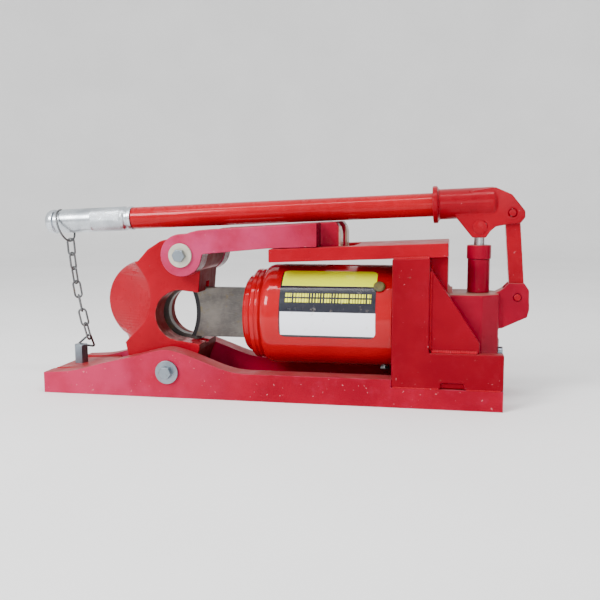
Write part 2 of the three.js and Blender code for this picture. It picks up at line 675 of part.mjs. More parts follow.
// The ring sits in the grip's groove and leans, so that the chain hangs clear of the grip.
function chainRing() {
  const radius = 20.4;
  const lean = 0.3;
  const low = { x: CHAIN_TOP.x, z: CHAIN_TOP.z - MESHING };
  const geometry = new THREE.TorusGeometry(radius, CHAIN_WIRE, 6, 24).rotateY(Math.PI / 2 - lean);
  const up = { x: -radius * Math.sin(lean), z: radius * Math.cos(lean) };
  return solid(geometry.translate(low.x + up.x, 0, low.z + up.z));
}
place("chain_ring", chainRing(), DARK);

// A wire triangle through three corners.
function wireTriangle(a, b, c, wire) {
  const middle = new THREE.Vector3().add(a).add(b).add(c).divideScalar(3);
  const size = (a.distanceTo(middle) + b.distanceTo(middle) + c.distanceTo(middle)) / 3;
  const along = a.clone().sub(middle).divideScalar(size);
  const half = a.clone().sub(middle).multiplyScalar(0.5);
  const across = b.clone().sub(middle).add(half).multiplyScalar(2 / (Math.sqrt(3) * size));
  const normal = along.clone().cross(across).normalize();
  const frame = new THREE.Matrix4().makeBasis(along, across, normal).setPosition(middle);
  return solid(new THREE.TorusGeometry(size, wire, 8, 3).applyMatrix4(frame));
}

// The last link sits in one corner of the hook, and its other two corners rest behind the stud.
function chainHook() {
  const wire = 1.35;
  const seat = chainPoint(1).add(new THREE.Vector3(-0.5, 0, MESHING));
  const left = new THREE.Vector3(STUD.x - 10, STUD.r + 2.7, STUD.top - 2.5);
  const right = new THREE.Vector3(STUD.x + 13, STUD.r + 2.7, STUD.top - 4.5);
  const outward = seat.clone().sub(left.clone().add(right).multiplyScalar(0.5)).normalize();
  return wireTriangle(seat.clone().addScaledVector(outward, 7.4), left, right, wire);
}
place("chain_hook", chainHook(), DARK);

export default root;
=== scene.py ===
"""Hydraulic wire-rope cutter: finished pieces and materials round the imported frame.

Lengths are in millimetres, from the nose end of the base. place() turns them into the frame's metres.
"""
import math

import bmesh
import bpy
from mathutils import Matrix, Vector


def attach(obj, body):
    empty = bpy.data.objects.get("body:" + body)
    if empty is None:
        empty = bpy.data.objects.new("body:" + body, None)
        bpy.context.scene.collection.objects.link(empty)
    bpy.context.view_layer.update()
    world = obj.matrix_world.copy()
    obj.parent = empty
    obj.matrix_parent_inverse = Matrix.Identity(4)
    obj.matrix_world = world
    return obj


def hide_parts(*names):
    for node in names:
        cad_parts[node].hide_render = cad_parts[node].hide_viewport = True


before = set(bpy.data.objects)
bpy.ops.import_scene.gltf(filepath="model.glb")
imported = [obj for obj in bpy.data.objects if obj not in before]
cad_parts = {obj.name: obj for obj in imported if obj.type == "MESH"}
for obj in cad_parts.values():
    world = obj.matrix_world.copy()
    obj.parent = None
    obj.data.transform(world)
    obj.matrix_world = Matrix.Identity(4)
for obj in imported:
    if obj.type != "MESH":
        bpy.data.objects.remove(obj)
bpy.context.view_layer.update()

# ---- dimensions shared with the CAD source, in mm ----
BASE_LENGTH = 540
BASE_HALF = 65
CHEEK_THICK = 25
CHEEK_STEP = 418.3
CHEEK_LOW = 22.5
NOSE_TOP = 27
AXIS_Z = 94.4
GAP = 0.3
RESERVOIR_R = 59.9
RESERVOIR_FROM = 266.3
RESERVOIR_TO = 418.3
CYLINDER_R = 48
RAM_R = 33
HEAD_HALF = 34
LOWER_PIN = (157.3, 30.5)
UPPER_PIN = (175.3, 167)
PIN_R = 12
JAW = (163, 93.1)
JAW_R = 30.2
ARM_INNER = 36
ARM_OUTER = 61
EYE_R = 24.6
TIE = (203, 176)
BACK = (109.6, 106.3)
BACK_R = 51
HANDLE_R = 13.5
HANDLE_AT = (99.6, 209)
HANDLE_RISE = math.atan(0.0421)
PLUNGER_X = 512.5
PLUNGER_PIN_Z = 199
LINK_TOP = (548, 215)
LINK_LOW = (555.6, 120)
EAR_INNER = 8.4
EAR_OUTER = 12.6
PIN_END = EAR_OUTER + 1.9
STUD = (17.5, 9, 48.5)
PLUG_ANGLE = math.radians(39.4)
PLUG_X = 403.3
DRAIN_ANGLE = math.radians(-70)
DRAIN_X = 408
CHAIN_WIRE = 1.25
MESHING = CHAIN_WIRE + 0.3
CHAIN_LINKS = 7
LINK_WIDE = 11.4
CHAIN_TOP = (8.2, 181.5)
CHAIN_DROP = 125
MM = 0.001


def rail_low(x):
    return 159.8 + (x - 279) * 0.04


# ---- materials ----
class Graph:
    """A small builder of procedural materials in object coordinates."""

    def __init__(self, name):
        self.material = bpy.data.materials.new(name)
        self.material.use_nodes = True
        self.tree = self.material.node_tree
        self.shader = self.tree.nodes["Principled BSDF"]
        self.coord = self.tree.nodes.new("ShaderNodeTexCoord")

    def link(self, value, socket):
        if isinstance(value, bpy.types.NodeSocket):
            self.tree.links.new(value, socket)
        elif isinstance(value, tuple) and len(value) == 3 and socket.type == "RGBA":
            socket.default_value = (*value, 1)
        else:
            socket.default_value = value

    def noise(self, scale, detail=4, rough=0.55, stretch=(1, 1, 1), distort=0.0):
        mapping = self.tree.nodes.new("ShaderNodeMapping")
        mapping.inputs["Scale"].default_value = stretch
        self.link(self.coord.outputs["Object"], mapping.inputs["Vector"])
        node = self.tree.nodes.new("ShaderNodeTexNoise")
        self.link(mapping.outputs["Vector"], node.inputs["Vector"])
        node.inputs["Scale"].default_value = scale
        node.inputs["Detail"].default_value = detail
        node.inputs["Roughness"].default_value = rough
        node.inputs["Distortion"].default_value = distort
        return node.outputs["Fac"]

    def ramp(self, value, low, high, to_low=0.0, to_high=1.0):
        node = self.tree.nodes.new("ShaderNodeMapRange")
        node.interpolation_type = "SMOOTHSTEP"
        self.link(value, node.inputs["Value"])
        for key, number in (("From Min", low), ("From Max", high), ("To Min", to_low), ("To Max", to_high)):
            node.inputs[key].default_value = number
        return node.outputs["Result"]

    def math(self, operation, first, second=0.0):
        node = self.tree.nodes.new("ShaderNodeMath")
        node.operation = operation
        self.link(first, node.inputs[0])
        self.link(second, node.inputs[1])
        return node.outputs[0]

    def mul(self, first, second):
        return self.math("MULTIPLY", first, second)

    def mix(self, factor, first, second):
        node = self.tree.nodes.new("ShaderNodeMix")
        node.data_type = "RGBA"
        self.link(factor, node.inputs["Factor"])
        self.link(first, node.inputs[6])
        self.link(second, node.inputs[7])
        return node.outputs[2]

    def parts(self, vector):
        node = self.tree.nodes.new("ShaderNodeSeparateXYZ")
        self.link(vector, node.inputs[0])
        return node.outputs

    def facing_up(self):
        return self.parts(self.coord.outputs["Normal"])[2]

    def edges(self, radius, low=0.03, high=0.3):
        bevel = self.tree.nodes.new("ShaderNodeBevel")
        bevel.samples = 4
        bevel.inputs["Radius"].default_value = radius
        geometry = self.tree.nodes.new("ShaderNodeNewGeometry")
        dot = self.tree.nodes.new("ShaderNodeVectorMath")
        dot.operation = "DOT_PRODUCT"
        self.link(bevel.outputs[0], dot.inputs[0])
        self.link(geometry.outputs["True Normal"], dot.inputs[1])
        return self.ramp(self.math("SUBTRACT", 1.0, dot.outputs["Value"]), low, high)

    def bump(self, height, strength, distance):
        node = self.tree.nodes.new("ShaderNodeBump")
        node.inputs["Strength"].default_value = strength
        node.inputs["Distance"].default_value = distance
        self.link(height, node.inputs["Height"])
        self.link(node.outputs[0], self.shader.inputs["Normal"])

    def finish(self, **sockets):
        names = {
            "color": "Base Color", "rough": "Roughness", "metal": "Metallic", "coat": "Coat Weight",
            "coat_rough": "Coat Roughness", "specular": "Specular IOR Level", "tint": "Specular Tint",
        }
        for key, value in sockets.items():
            self.link(value, self.shader.inputs[names[key]])
        return self.material


DUST = (0.25, 0.055, 0.05)
GREY_DUST = (0.26, 0.17, 0.12)
CHIP = (0.13, 0.075, 0.055)


def enamel(
    name, base, deep, pale, rough, coat, grain, worn, dusty,
    lumps=0.0006, highlight_span=None, dust=DUST, speckle=0.75, end=None,
):
    """Brushed or sprayed red paint.

    The x span that follows lumps sets where a painted highlight grows paler on faces toward the front;
    before end, faces toward +x get painted shade, and past end the paint is worn off.
    """
    g = Graph(name)
    patch = g.noise(12, 3)
    mottle = g.noise(70, 6, 0.62)
    fine = g.noise(520, 4)
    color = g.mix(g.ramp(patch, 0.36, 0.68), base, deep)
    color = g.mix(g.mul(g.ramp(mottle, 0.5, 0.8), 0.14), color, pale)
    # Painted highlight: faces toward the front grow paler along the x span, in noisy patches.
    if highlight_span:
        along = g.parts(g.coord.outputs["Object"])[0]
        front_highlight = g.mul(g.ramp(along, *highlight_span), g.ramp(g.noise(22, 4), 0.25, 0.65, 0.35, 1.0))
        front = g.ramp(g.parts(g.coord.outputs["Normal"])[1], -0.95, -0.45, 0.75, 0.1)
        color = g.mix(g.mul(front_highlight, front), color, pale)
    # Pale edges: partly edge wear, partly painted highlight along the edges.
    edge_wear_and_highlight = g.mul(g.edges(0.0022), g.ramp(mottle, 0.36, 0.62))
    color = g.mix(g.mul(edge_wear_and_highlight, worn), color, pale)
    chips = g.mul(g.ramp(g.noise(190, 5, 0.7), 0.70, 0.72), worn)
    color = g.mix(chips, color, CHIP)
    # Pale specks: painted glints on the orange-peel paint.
    specks = g.mul(g.ramp(g.noise(300, 2, 0.4), speckle, speckle + 0.03), 0.6 * worn)
    color = g.mix(specks, color, (0.55, 0.20, 0.22))
    settled = g.mul(g.ramp(g.facing_up(), 0.72, 0.97), g.ramp(g.noise(38, 5), 0.3, 0.7, 0.35, 1.0))
    settled = g.mul(settled, dusty)
    color = g.mix(settled, color, dust)
    sheen = 0.38
    # Painted shade: before end, faces toward +x are darkened and lose their sheen; past end the paint is
    # worn off to beige metal.
    if end:
        past = g.ramp(g.parts(g.coord.outputs["Object"])[0], end - 0.0005, end + 0.0005)
        facing_pump = g.ramp(g.parts(g.coord.outputs["Normal"])[0], 0.35, 0.8)
        shaded = g.mul(facing_pump, g.math("SUBTRACT", 1.0, past))
        color = g.mix(g.mul(shaded, 0.9), color, (0.085, 0.003, 0.010))
        sheen = g.ramp(shaded, 0.0, 1.0, 0.38, 0.05)
        color = g.mix(g.mul(past, g.ramp(mottle, 0.25, 0.5, 0.35, 1.0)), color, (0.34, 0.27, 0.20))
    roughness = g.math("ADD", g.ramp(mottle, 0.3, 0.75, rough - 0.07, rough + 0.12), g.mul(settled, 0.35))
    height = g.math("ADD", g.mul(mottle, 0.7), g.mul(fine, 0.3))
    g.bump(height, grain, lumps)
    return g.finish(
        color=color, rough=roughness, coat=coat, coat_rough=0.08, specular=sheen, tint=(1.0, 0.06, 0.09))


def steel(name, base, alt, rough, stain, stained, stretch=(1, 1, 1), bump=0.12, metal=1.0):
    g = Graph(name)
    streak = g.noise(220, 5, 0.6, stretch)
    cloud = g.noise(30, 5)
    color = g.mix(g.ramp(cloud, 0.35, 0.7), base, alt)
    color = g.mix(g.mul(g.ramp(streak, 0.45, 0.7), 0.3), color, base)
    spots = g.mul(g.ramp(g.noise(85, 6, 0.7), 0.56, 0.68), stained)
    color = g.mix(spots, color, stain)
    uneven = g.math("ADD", g.mul(streak, 0.5), g.mul(cloud, 0.5))
    shine = g.ramp(uneven, 0.3, 0.7, rough - 0.06, rough + 0.12)
    g.bump(streak, bump, 0.0003)
    return g.finish(color=color, rough=g.math("ADD", shine, g.mul(spots, 0.25)), metal=metal)


def head_paint():
    """Cast red, with the jaw's rim worn to brownish metal, and painted shade with streaks of oil on the end
    that faces the jack.
    """
    g = Graph("head_enamel")
    x, _, z = g.parts(g.coord.outputs["Object"])[:3]
    dx = g.math("SUBTRACT", x, (JAW[0] - BASE_LENGTH / 2) * MM)
    dz = g.math("SUBTRACT", z, JAW[1] * MM)
    reach = g.math("SQRT", g.math("ADD", g.mul(dx, dx), g.mul(dz, dz)))
    cloud = g.noise(16, 4)
    mottle = g.noise(85, 6, 0.62)
    color = g.mix(g.ramp(cloud, 0.36, 0.68), (0.33, 0.0005, 0.012), (0.26, 0.0003, 0.009))
    # Pale edges: partly edge wear, partly painted highlight.
    color = g.mix(g.mul(g.edges(0.002), g.ramp(mottle, 0.36, 0.6)), color, (0.46, 0.022, 0.04))
    chips = g.ramp(g.noise(170, 5, 0.7), 0.70, 0.72)
    color = g.mix(chips, color, CHIP)
    uneven = g.math("ADD", reach, g.mul(g.noise(120, 4), 0.0016))
    bare = g.ramp(uneven, 0.0314, 0.0322, 1.0, 0.0)
    bare = g.mul(bare, g.ramp(g.noise(60, 5, 0.65), 0.36, 0.5))
    rust = g.mix(g.ramp(g.noise(140, 5), 0.4, 0.65), (0.085, 0.030, 0.026), (0.20, 0.125, 0.11))
    color = g.mix(bare, color, rust)
    # Painted shade: faces toward +x, the end that faces the jack, are darkened and dulled, with real oil
    # streaks running through the dark tone.
    shade_side = g.ramp(g.parts(g.coord.outputs["Normal"])[0], 0.55, 0.85)
    runs = g.ramp(g.noise(60, 5, 0.6, (1, 1, 0.2)), 0.4, 0.7)
    stain = g.mix(runs, (0.075, 0.002, 0.005), (0.11, 0.03, 0.026))
    color = g.mix(g.mul(shade_side, 0.9), color, stain)
    rough = g.math("ADD", g.ramp(mottle, 0.3, 0.75, 0.24, 0.42), g.mul(g.math("MAXIMUM", bare, shade_side), 0.25))
    g.bump(g.math("ADD", g.mul(mottle, 0.65), g.mul(g.noise(420, 3), 0.35)), 0.45, 0.0008)
    return g.finish(
        color=color, rough=rough, coat=g.ramp(shade_side, 0.0, 1.0, 0.1, 0.0), coat_rough=0.12,
        specular=g.ramp(shade_side, 0.0, 1.0, 0.35, 0.05), tint=(1.0, 0.06, 0.06), metal=g.mul(bare, 0.6))


def label_print():
    """Three plain bands and two rows of plain dashes."""
    g = Graph("label_print")
    u, v = g.parts(g.coord.outputs["UV"])[:2]
    band_low, band_high = 0.343, 0.711
    edge = 0.004
    above = g.ramp(v, band_low - edge, band_low + edge)
    dark = g.mul(above, g.ramp(v, band_high - edge, band_high + edge, 1.0, 0.0))
    yellow = g.ramp(v, band_high - edge, band_high + edge)
    color = g.mix(yellow, (0.86, 0.88, 0.95), (0.78, 0.90, 0.001))
    color = g.mix(dark, color, (0.006, 0.007, 0.016))
    place_along = g.mul(u, 34.0)
    beat = g.math("FRACT", place_along)
    uneven = g.math("FRACT", g.mul(g.math("SINE", g.mul(g.math("FLOOR", place_along), 12.99)), 437.5))
    dash = g.mul(g.ramp(beat, 0.08, 0.16), g.math("LESS_THAN", beat, g.ramp(uneven, 0.0, 1.0, 0.45, 0.95)))
    row = g.mul(g.ramp(v, 0.47, 0.475), g.ramp(v, 0.595, 0.6, 1.0, 0.0))
    gap = g.math("GREATER_THAN", g.math("ABSOLUTE", g.math("SUBTRACT", v, 0.535)), 0.012)
    span = g.mul(g.ramp(u, 0.06, 0.065), g.ramp(u, 0.95, 0.955, 1.0, 0.0))
    color = g.mix(g.mul(g.mul(g.mul(dash, gap), row), span), color, (0.78, 0.78, 0.02))
    rim = g.math("MAXIMUM", g.ramp(u, 0.012, 0.016, 1.0, 0.0), g.ramp(v, 0.026, 0.032, 1.0, 0.0))
    color = g.mix(rim, color, (0.012, 0.010, 0.014))
    scuff = g.ramp(g.noise(95, 6, 0.7), 0.6, 0.7)
    color = g.mix(g.mul(scuff, 0.28), color, (0.30, 0.26, 0.20))
    g.bump(g.noise(60, 3), 0.08, 0.0004)
    return g.finish(color=color, rough=g.ramp(scuff, 0.0, 1.0, 0.2, 0.42), coat=0.12, coat_rough=0.1)


def rubber():
    g = Graph("plug_rubber")
    cloud = g.noise(160, 4)
    color = g.mix(g.ramp(cloud, 0.4, 0.65), (0.105, 0.088, 0.022), (0.055, 0.045, 0.018))
    g.bump(g.noise(600, 3), 0.2, 0.0003)
    return g.finish(color=color, rough=g.ramp(cloud, 0.3, 0.7, 0.5, 0.7))


ENAMEL = enamel(
    "frame_enamel", (0.29, 0.0003, 0.009), (0.23, 0.0002, 0.007), (0.44, 0.018, 0.04),
    0.36, 0.04, 0.35, 0.8, 0.45)
PLATE = enamel(
    "plate_enamel", (0.20, 0.0002, 0.008), (0.155, 0.0001, 0.006), (0.30, 0.014, 0.035),
    0.38, 0.04, 0.35, 0.8, 0.45)
CAST = enamel(
    "cheek_enamel", (0.30, 0.001, 0.018), (0.22, 0.0005, 0.012), (0.47, 0.032, 0.10),
    0.36, 0.06, 0.55, 0.9, 0.8, 0.0009, (0.02, -0.2), speckle=0.73)
ARM = enamel(
    "arm_enamel", (0.29, 0.001, 0.018), (0.21, 0.0005, 0.012), (0.46, 0.045, 0.14),
    0.30, 0.15, 0.4, 0.8, 0.35, 0.0006, (0.10, -0.05), speckle=0.74, end=0.0858)
PUMP = enamel(
    "pump_enamel", (0.25, 0.0006, 0.016), (0.17, 0.0004, 0.011), (0.42, 0.025, 0.06),
    0.34, 0.08, 0.5, 0.8, 0.9, dust=GREY_DUST)
LEVER = enamel(
    "lever_enamel", (0.28, 0.0004, 0.009), (0.21, 0.0003, 0.007), (0.44, 0.022, 0.04),
    0.3, 0.1, 0.45, 0.6, 0.15)
GLOSS = enamel(
    "gloss_enamel", (0.37, 0.0002, 0.006), (0.32, 0.0001, 0.005), (0.42, 0.004, 0.01),
    0.16, 0.45, 0.10, 0.2, 0.03)
PIPE = enamel(
    "pipe_enamel", (0.36, 0.0004, 0.008), (0.31, 0.0003, 0.006), (0.5, 0.03, 0.05),
    0.25, 0.25, 0.12, 0.25, 0.05)
HEAD = head_paint()
ZINC = steel("zinc_plate", (0.26, 0.30, 0.34), (0.18, 0.21, 0.24), 0.34, (0.16, 0.14, 0.11), 0.35)
CREAM = steel(
    "washer_plate", (0.50, 0.48, 0.40), (0.40, 0.38, 0.30), 0.45, (0.30, 0.25, 0.16), 0.4, metal=0.5)
BLADE = steel(
    "knife_steel", (0.145, 0.135, 0.125), (0.09, 0.083, 0.077), 0.42, (0.20, 0.13, 0.045),
    0.6, (1, 1, 7), 0.2, 0.85)
BRIGHT = steel(
    "ground_steel", (0.55, 0.55, 0.55), (0.42, 0.42, 0.42), 0.24, (0.3, 0.24, 0.16),
    0.3, (1, 8, 8), 0.08)
GRIP = steel(
    "machined_grip", (0.62, 0.66, 0.70), (0.34, 0.37, 0.40), 0.26, (0.30, 0.27, 0.22),
    0.25, (9, 1, 1), 0.18)
CHAIN = steel("chain_steel", (0.16, 0.165, 0.17), (0.09, 0.09, 0.095), 0.38, (0.16, 0.09, 0.05), 0.5)
RUBBER = rubber()
LABEL = label_print()


# ---- geometry ----
def place(x, y, z):
    return Vector(((x - BASE_LENGTH / 2) * MM, y * MM, z * MM))


def as_object(name, bm):
    """The bmesh, drawn in mm, as an object in metres in the row frame."""
    bmesh.ops.recalc_face_normals(bm, faces=bm.faces)
    bm.transform(Matrix.Scale(MM, 4) @ Matrix.Translation((-BASE_LENGTH / 2, 0, 0)))
    mesh = bpy.data.meshes.new(name)
    bm.to_mesh(mesh)
    bm.free()
    obj = bpy.data.objects.new(name, mesh)
    bpy.context.scene.collection.objects.link(obj)
    return obj


def settle(obj):
    """Applies the object's modifiers to its mesh."""
    seen = obj.evaluated_get(bpy.context.evaluated_depsgraph_get())
    mesh = bpy.data.meshes.new_from_object(seen)
    obj.modifiers.clear()
    obj.data = mesh
    return obj


def combine(obj, operation, *others):
    for other in others:
        step = obj.modifiers.new("shape", "BOOLEAN")
        step.operation = operation
        step.solver = "EXACT"
        step.object = other
    settle(obj)
    for other in others:
        bpy.data.objects.remove(other)
    return obj


def soften(obj, voxel, passes):
    """Rounds every edge and corner, as a casting's are."""
    grid = obj.modifiers.new("grid", "REMESH")
    grid.mode = "VOXEL"
    grid.voxel_size = voxel * MM
    relax = obj.modifiers.new("relax", "SMOOTH")
    relax.factor = 0.5
    relax.iterations = passes
    return settle(obj)


def bevelled(obj, width, angle=28, segments=3):
    step = obj.modifiers.new("edge", "BEVEL")
    step.width = width * MM
    step.segments = segments
    step.limit_method = "ANGLE"
    step.angle_limit = math.radians(angle)
    step.miter_outer = "MITER_ARC"
    return settle(obj)


def fit_out(obj, body, material, nodes=(), smooth=35):
    obj.data.materials.clear()
    obj.data.materials.append(material)
    obj.data.shade_smooth()
    obj.data.set_sharp_from_angle(angle=math.radians(smooth))
    steady = obj.modifiers.new("steady", "WEIGHTED_NORMAL")
    steady.keep_sharp = True
    settle(obj)
    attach(obj, body)
    if nodes:
        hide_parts(*nodes)
    return obj


def copied(name, node, width, segments=3):
    """A CAD node's own shape with its flat faces cleaned and its edges broken."""
    bm = bmesh.new()
    bm.from_mesh(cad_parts[node].data)
    bmesh.ops.remove_doubles(bm, verts=bm.verts, dist=2e-6)
    bmesh.ops.dissolve_limit(bm, angle_limit=math.radians(1.5), verts=bm.verts, edges=bm.edges)
    mesh = bpy.data.meshes.new(name)
    bm.to_mesh(mesh)
    bm.free()
    obj = bpy.data.objects.new(name, mesh)
    bpy.context.scene.collection.objects.link(obj)
    return bevelled(obj, width, segments=segments)


def rounded(points, radius, closed=False, steps=4):
    """A polyline with its corners rounded; points are 2-D."""
    count = len(points)
    made = []
    for i, point in enumerate(points):
        here = Vector(point)
        if not closed and i in (0, count - 1):
            made.append(tuple(here))
            continue
        back = Vector(points[i - 1]) - here
        ahead = Vector(points[(i + 1) % count]) - here
        turn = back.angle(ahead, math.pi) if back.length and ahead.length else math.pi
        if turn > math.radians(165):
            made.append(tuple(here))
            continue
        reach = min(radius / math.tan(turn / 2), back.length * 0.45, ahead.length * 0.45)
        first = here + back.normalized() * reach
        last = here + ahead.normalized() * reach
        for k in range(steps + 1):
            t = k / steps
            made.append(tuple((1 - t) ** 2 * first + 2 * t * (1 - t) * here + t * t * last))
    return made


def arc(centre, radius, start, end, steps=24):
    """Points on a circle from one angle to the other, in radians."""
    turns = [start + (end - start) * k / steps for k in range(steps + 1)]
    return [(centre[0] + radius * math.cos(t), centre[1] + radius * math.sin(t)) for t in turns]


def prism(name, points, y0, y1):
    """An xz outline made solid from y0 to y1."""
    bm = bmesh.new()
    near = [bm.verts.new((x, y0, z)) for x, z in points]
    far = [bm.verts.new((x, y1, z)) for x, z in points]
    bm.faces.new(near)
    bm.faces.new(far[::-1])
    for i in range(len(points)):
        j = (i + 1) % len(points)
        bm.faces.new((near[j], near[i], far[i], far[j]))
    return as_object(name, bm)


def column(name, points, z0, z1):
    """An xy outline made solid from z0 to z1."""
    bm = bmesh.new()
    low = [bm.verts.new((x, y, z0)) for x, y in points]
    top = [bm.verts.new((x, y, z1)) for x, y in points]
    bm.faces.new(low[::-1])
    bm.faces.new(top)
    for i in range(len(points)):
        j = (i + 1) % len(points)
        bm.faces.new((low[i], low[j], top[j], top[i]))
    return as_object(name, bm)


def block(name, x0, x1, y0, y1, z0, z1):
    return prism(name, [(x0, z0), (x1, z0), (x1, z1), (x0, z1)], y0, y1)


AXES = {
    "X": Matrix(((0, 0, 1), (1, 0, 0), (0, 1, 0))).to_4x4(),
    "Y": Matrix(((1, 0, 0), (0, 0, 1), (0, -1, 0))).to_4x4(),
    "Z": Matrix.Identity(4),
}


def lathe(name, profile, axis, at, sides=96, turn=0.0, ripple=None):
    """Turns [radius, distance along the axis] round an axis through at; radius 0 closes an end."""
    bm = bmesh.new()
    rings = []
    for r, along in profile:
        if r < 1e-6:
            rings.append([bm.verts.new((0, 0, along))])
            continue
        ring = []
        for k in range(sides):
            a = 2 * math.pi * k / sides + turn
            reach = r + (ripple(r, along, a) if ripple else 0)
            ring.append(bm.verts.new((reach * math.cos(a), reach * math.sin(a), along)))
        rings.append(ring)
    closed = profile[0][0] > 1e-6
    for i in range(len(rings) - (0 if closed else 1)):
        first, second = rings[i], rings[(i + 1) % len(rings)]
        if len(first) == len(second) == 1:
            continue
        for k in range(sides):
            j = (k + 1) % sides
            if len(first) == 1:
                bm.faces.new((first[0], second[k], second[j]))
            elif len(second) == 1:
                bm.faces.new((first[k], first[j], second[0]))
            else:
                bm.faces.new((first[k], first[j], second[j], second[k]))
    matrix = axis if isinstance(axis, Matrix) else AXES[axis]
    bm.transform(Matrix.Translation(at) @ matrix)
    return as_object(name, bm)


def rod(r, start, end):
    return [(0, start), (r, start), (r, end), (0, end)]


def loop(*points, radius=0.8):
    """A closed lathe profile with rounded corners."""
    return rounded(list(points), radius, closed=True)


def solid_profile(*points, radius=0.8):
    """A lathe profile that starts and ends on the axis, with rounded corners."""
    return rounded(list(points), radius)


def pin_y(name, r, y0, y1, at, sides=64):
    return lathe(name, rod(r, y0, y1), "Y", (at[0], 0, at[1]), sides)


def sweep(name, points, radius, closed=False, sides=10, ripple=0.0, pitch=2.2):
    """A round wire or bead along points in mm, carried without twist."""
    path = [Vector(p) for p in points]
    count = len(path)
    bm = bmesh.new()
    rings = []
    up = None
    travelled = 0.0
    for i, here in enumerate(path):
        if closed:
            way = (path[(i + 1) % count] - path[i - 1]).normalized()
        else:
            way = (path[min(i + 1, count - 1)] - path[max(i - 1, 0)]).normalized()
        if up is None:
            up = way.orthogonal().normalized()
        up = (up - way * up.dot(way)).normalized()
        side = way.cross(up)
        if i:
            travelled += (here - path[i - 1]).length
        size = radius * (1 + ripple * math.cos(2 * math.pi * travelled / pitch))
        if not closed and i in (0, count - 1):
            size *= 0.35
        turns = [2 * math.pi * k / sides for k in range(sides)]
        rings.append([bm.verts.new(here + (up * math.cos(t) + side * math.sin(t)) * size) for t in turns])
    spans = count if closed else count - 1
    shift = 0
    if closed:
        turned_to = rings[0][0].co - path[0]
        shift = min(range(sides), key=lambda k: (rings[-1][k].co - path[-1] - turned_to).length)
    for i in range(spans):
        last = closed and i == count - 1
        for k in range(sides):
            j = (k + 1) % sides
            first, second = rings[i], rings[(i + 1) % count]
            if last:
                a, b = first[(k + shift) % sides], first[(j + shift) % sides]
            else:
                a, b = first[k], first[j]
            bm.faces.new((a, b, second[j], second[k]))
    if not closed:
        bm.faces.new(rings[0][::-1])
        bm.faces.new(rings[-1])
    return as_object(name, bm)


def straight(start, end, step=0.55):
    a, b = Vector(start), Vector(end)
    count = max(2, int((b - a).length / step))
    return [a.lerp(b, k / count) for k in range(count + 1)]


# ---- welded base ----
HUMP = [
    (0, 24.5), (38, 28), (78, 38.5), (116, 47.5), (140, 54), (157, 56.6),
    (176, 52.6), (198, 45), (216, 38.4), (233, 33.4), (250, 31.4), (268, 31.4),
]


def through(points, steps=7):
    """A smooth curve through 2-D points, by Catmull and Rom's rule."""
    made = []
    last = len(points) - 1
    for i in range(last):
        a, b = Vector(points[max(i - 1, 0)]), Vector(points[i])
        c, d = Vector(points[i + 1]), Vector(points[min(i + 2, last)])
        for k in range(steps):
            t = k / steps
            bend = 2 * a - 5 * b + 4 * c - d
            twist = 3 * b - a - 3 * c + d
            made.append(tuple(0.5 * (2 * b + (c - a) * t + bend * t * t + twist * t ** 3)))
    made.append(points[-1])
    return made


CHEEK = [
    (0, 0), *through(HUMP), (CHEEK_STEP, 31.4), (CHEEK_STEP, CHEEK_LOW), (BASE_LENGTH, CHEEK_LOW),
    (BASE_LENGTH, 0),
]
CHEEK_INNER = BASE_HALF - CHEEK_THICK
for word, y0, y1 in (("front", -BASE_HALF, -CHEEK_INNER), ("rear", CHEEK_INNER, BASE_HALF)):
    cheek = prism(f"{word}_cheek_casting", CHEEK, y0, y1)
    combine(cheek, "DIFFERENCE", pin_y("bore", PIN_R + GAP, -80, 80, LOWER_PIN))
    bevelled(cheek, 1.6, 40, 4)
    fit_out(cheek, "base", CAST, [f"{word}_cheek"])

for node, width in (
    ("base_plate", 0.7), ("nose_block", 1.4), ("front_side_plate", 1.7), ("rear_side_plate", 1.7),
    ("front_gusset", 1.1), ("rear_gusset", 1.1), ("reaction_plate", 1.0), ("top_rail", 1.3),
):
    paint = PLATE if "plate" in node or "gusset" in node else ENAMEL
    fit_out(copied(f"{node}_steel", node, width), "base", paint, [node])

STUD_X, STUD_R, STUD_TOP = STUD
stud = lathe("stud_hex", rod(STUD_R, 24.9, STUD_TOP), "Z", (STUD_X, 0, 0), 6)
crown = lathe("crown", solid_profile(
    (0, 20), (9.2, 20), (9.2, STUD_TOP - 1.6), (7.6, STUD_TOP), (0, STUD_TOP), radius=0.6),
    "Z", (STUD_X, 0, 0), 64)
combine(stud, "INTERSECT", crown)
fit_out(bevelled(stud, 0.35, 20, 2), "base", ZINC, ["chain_stud"])


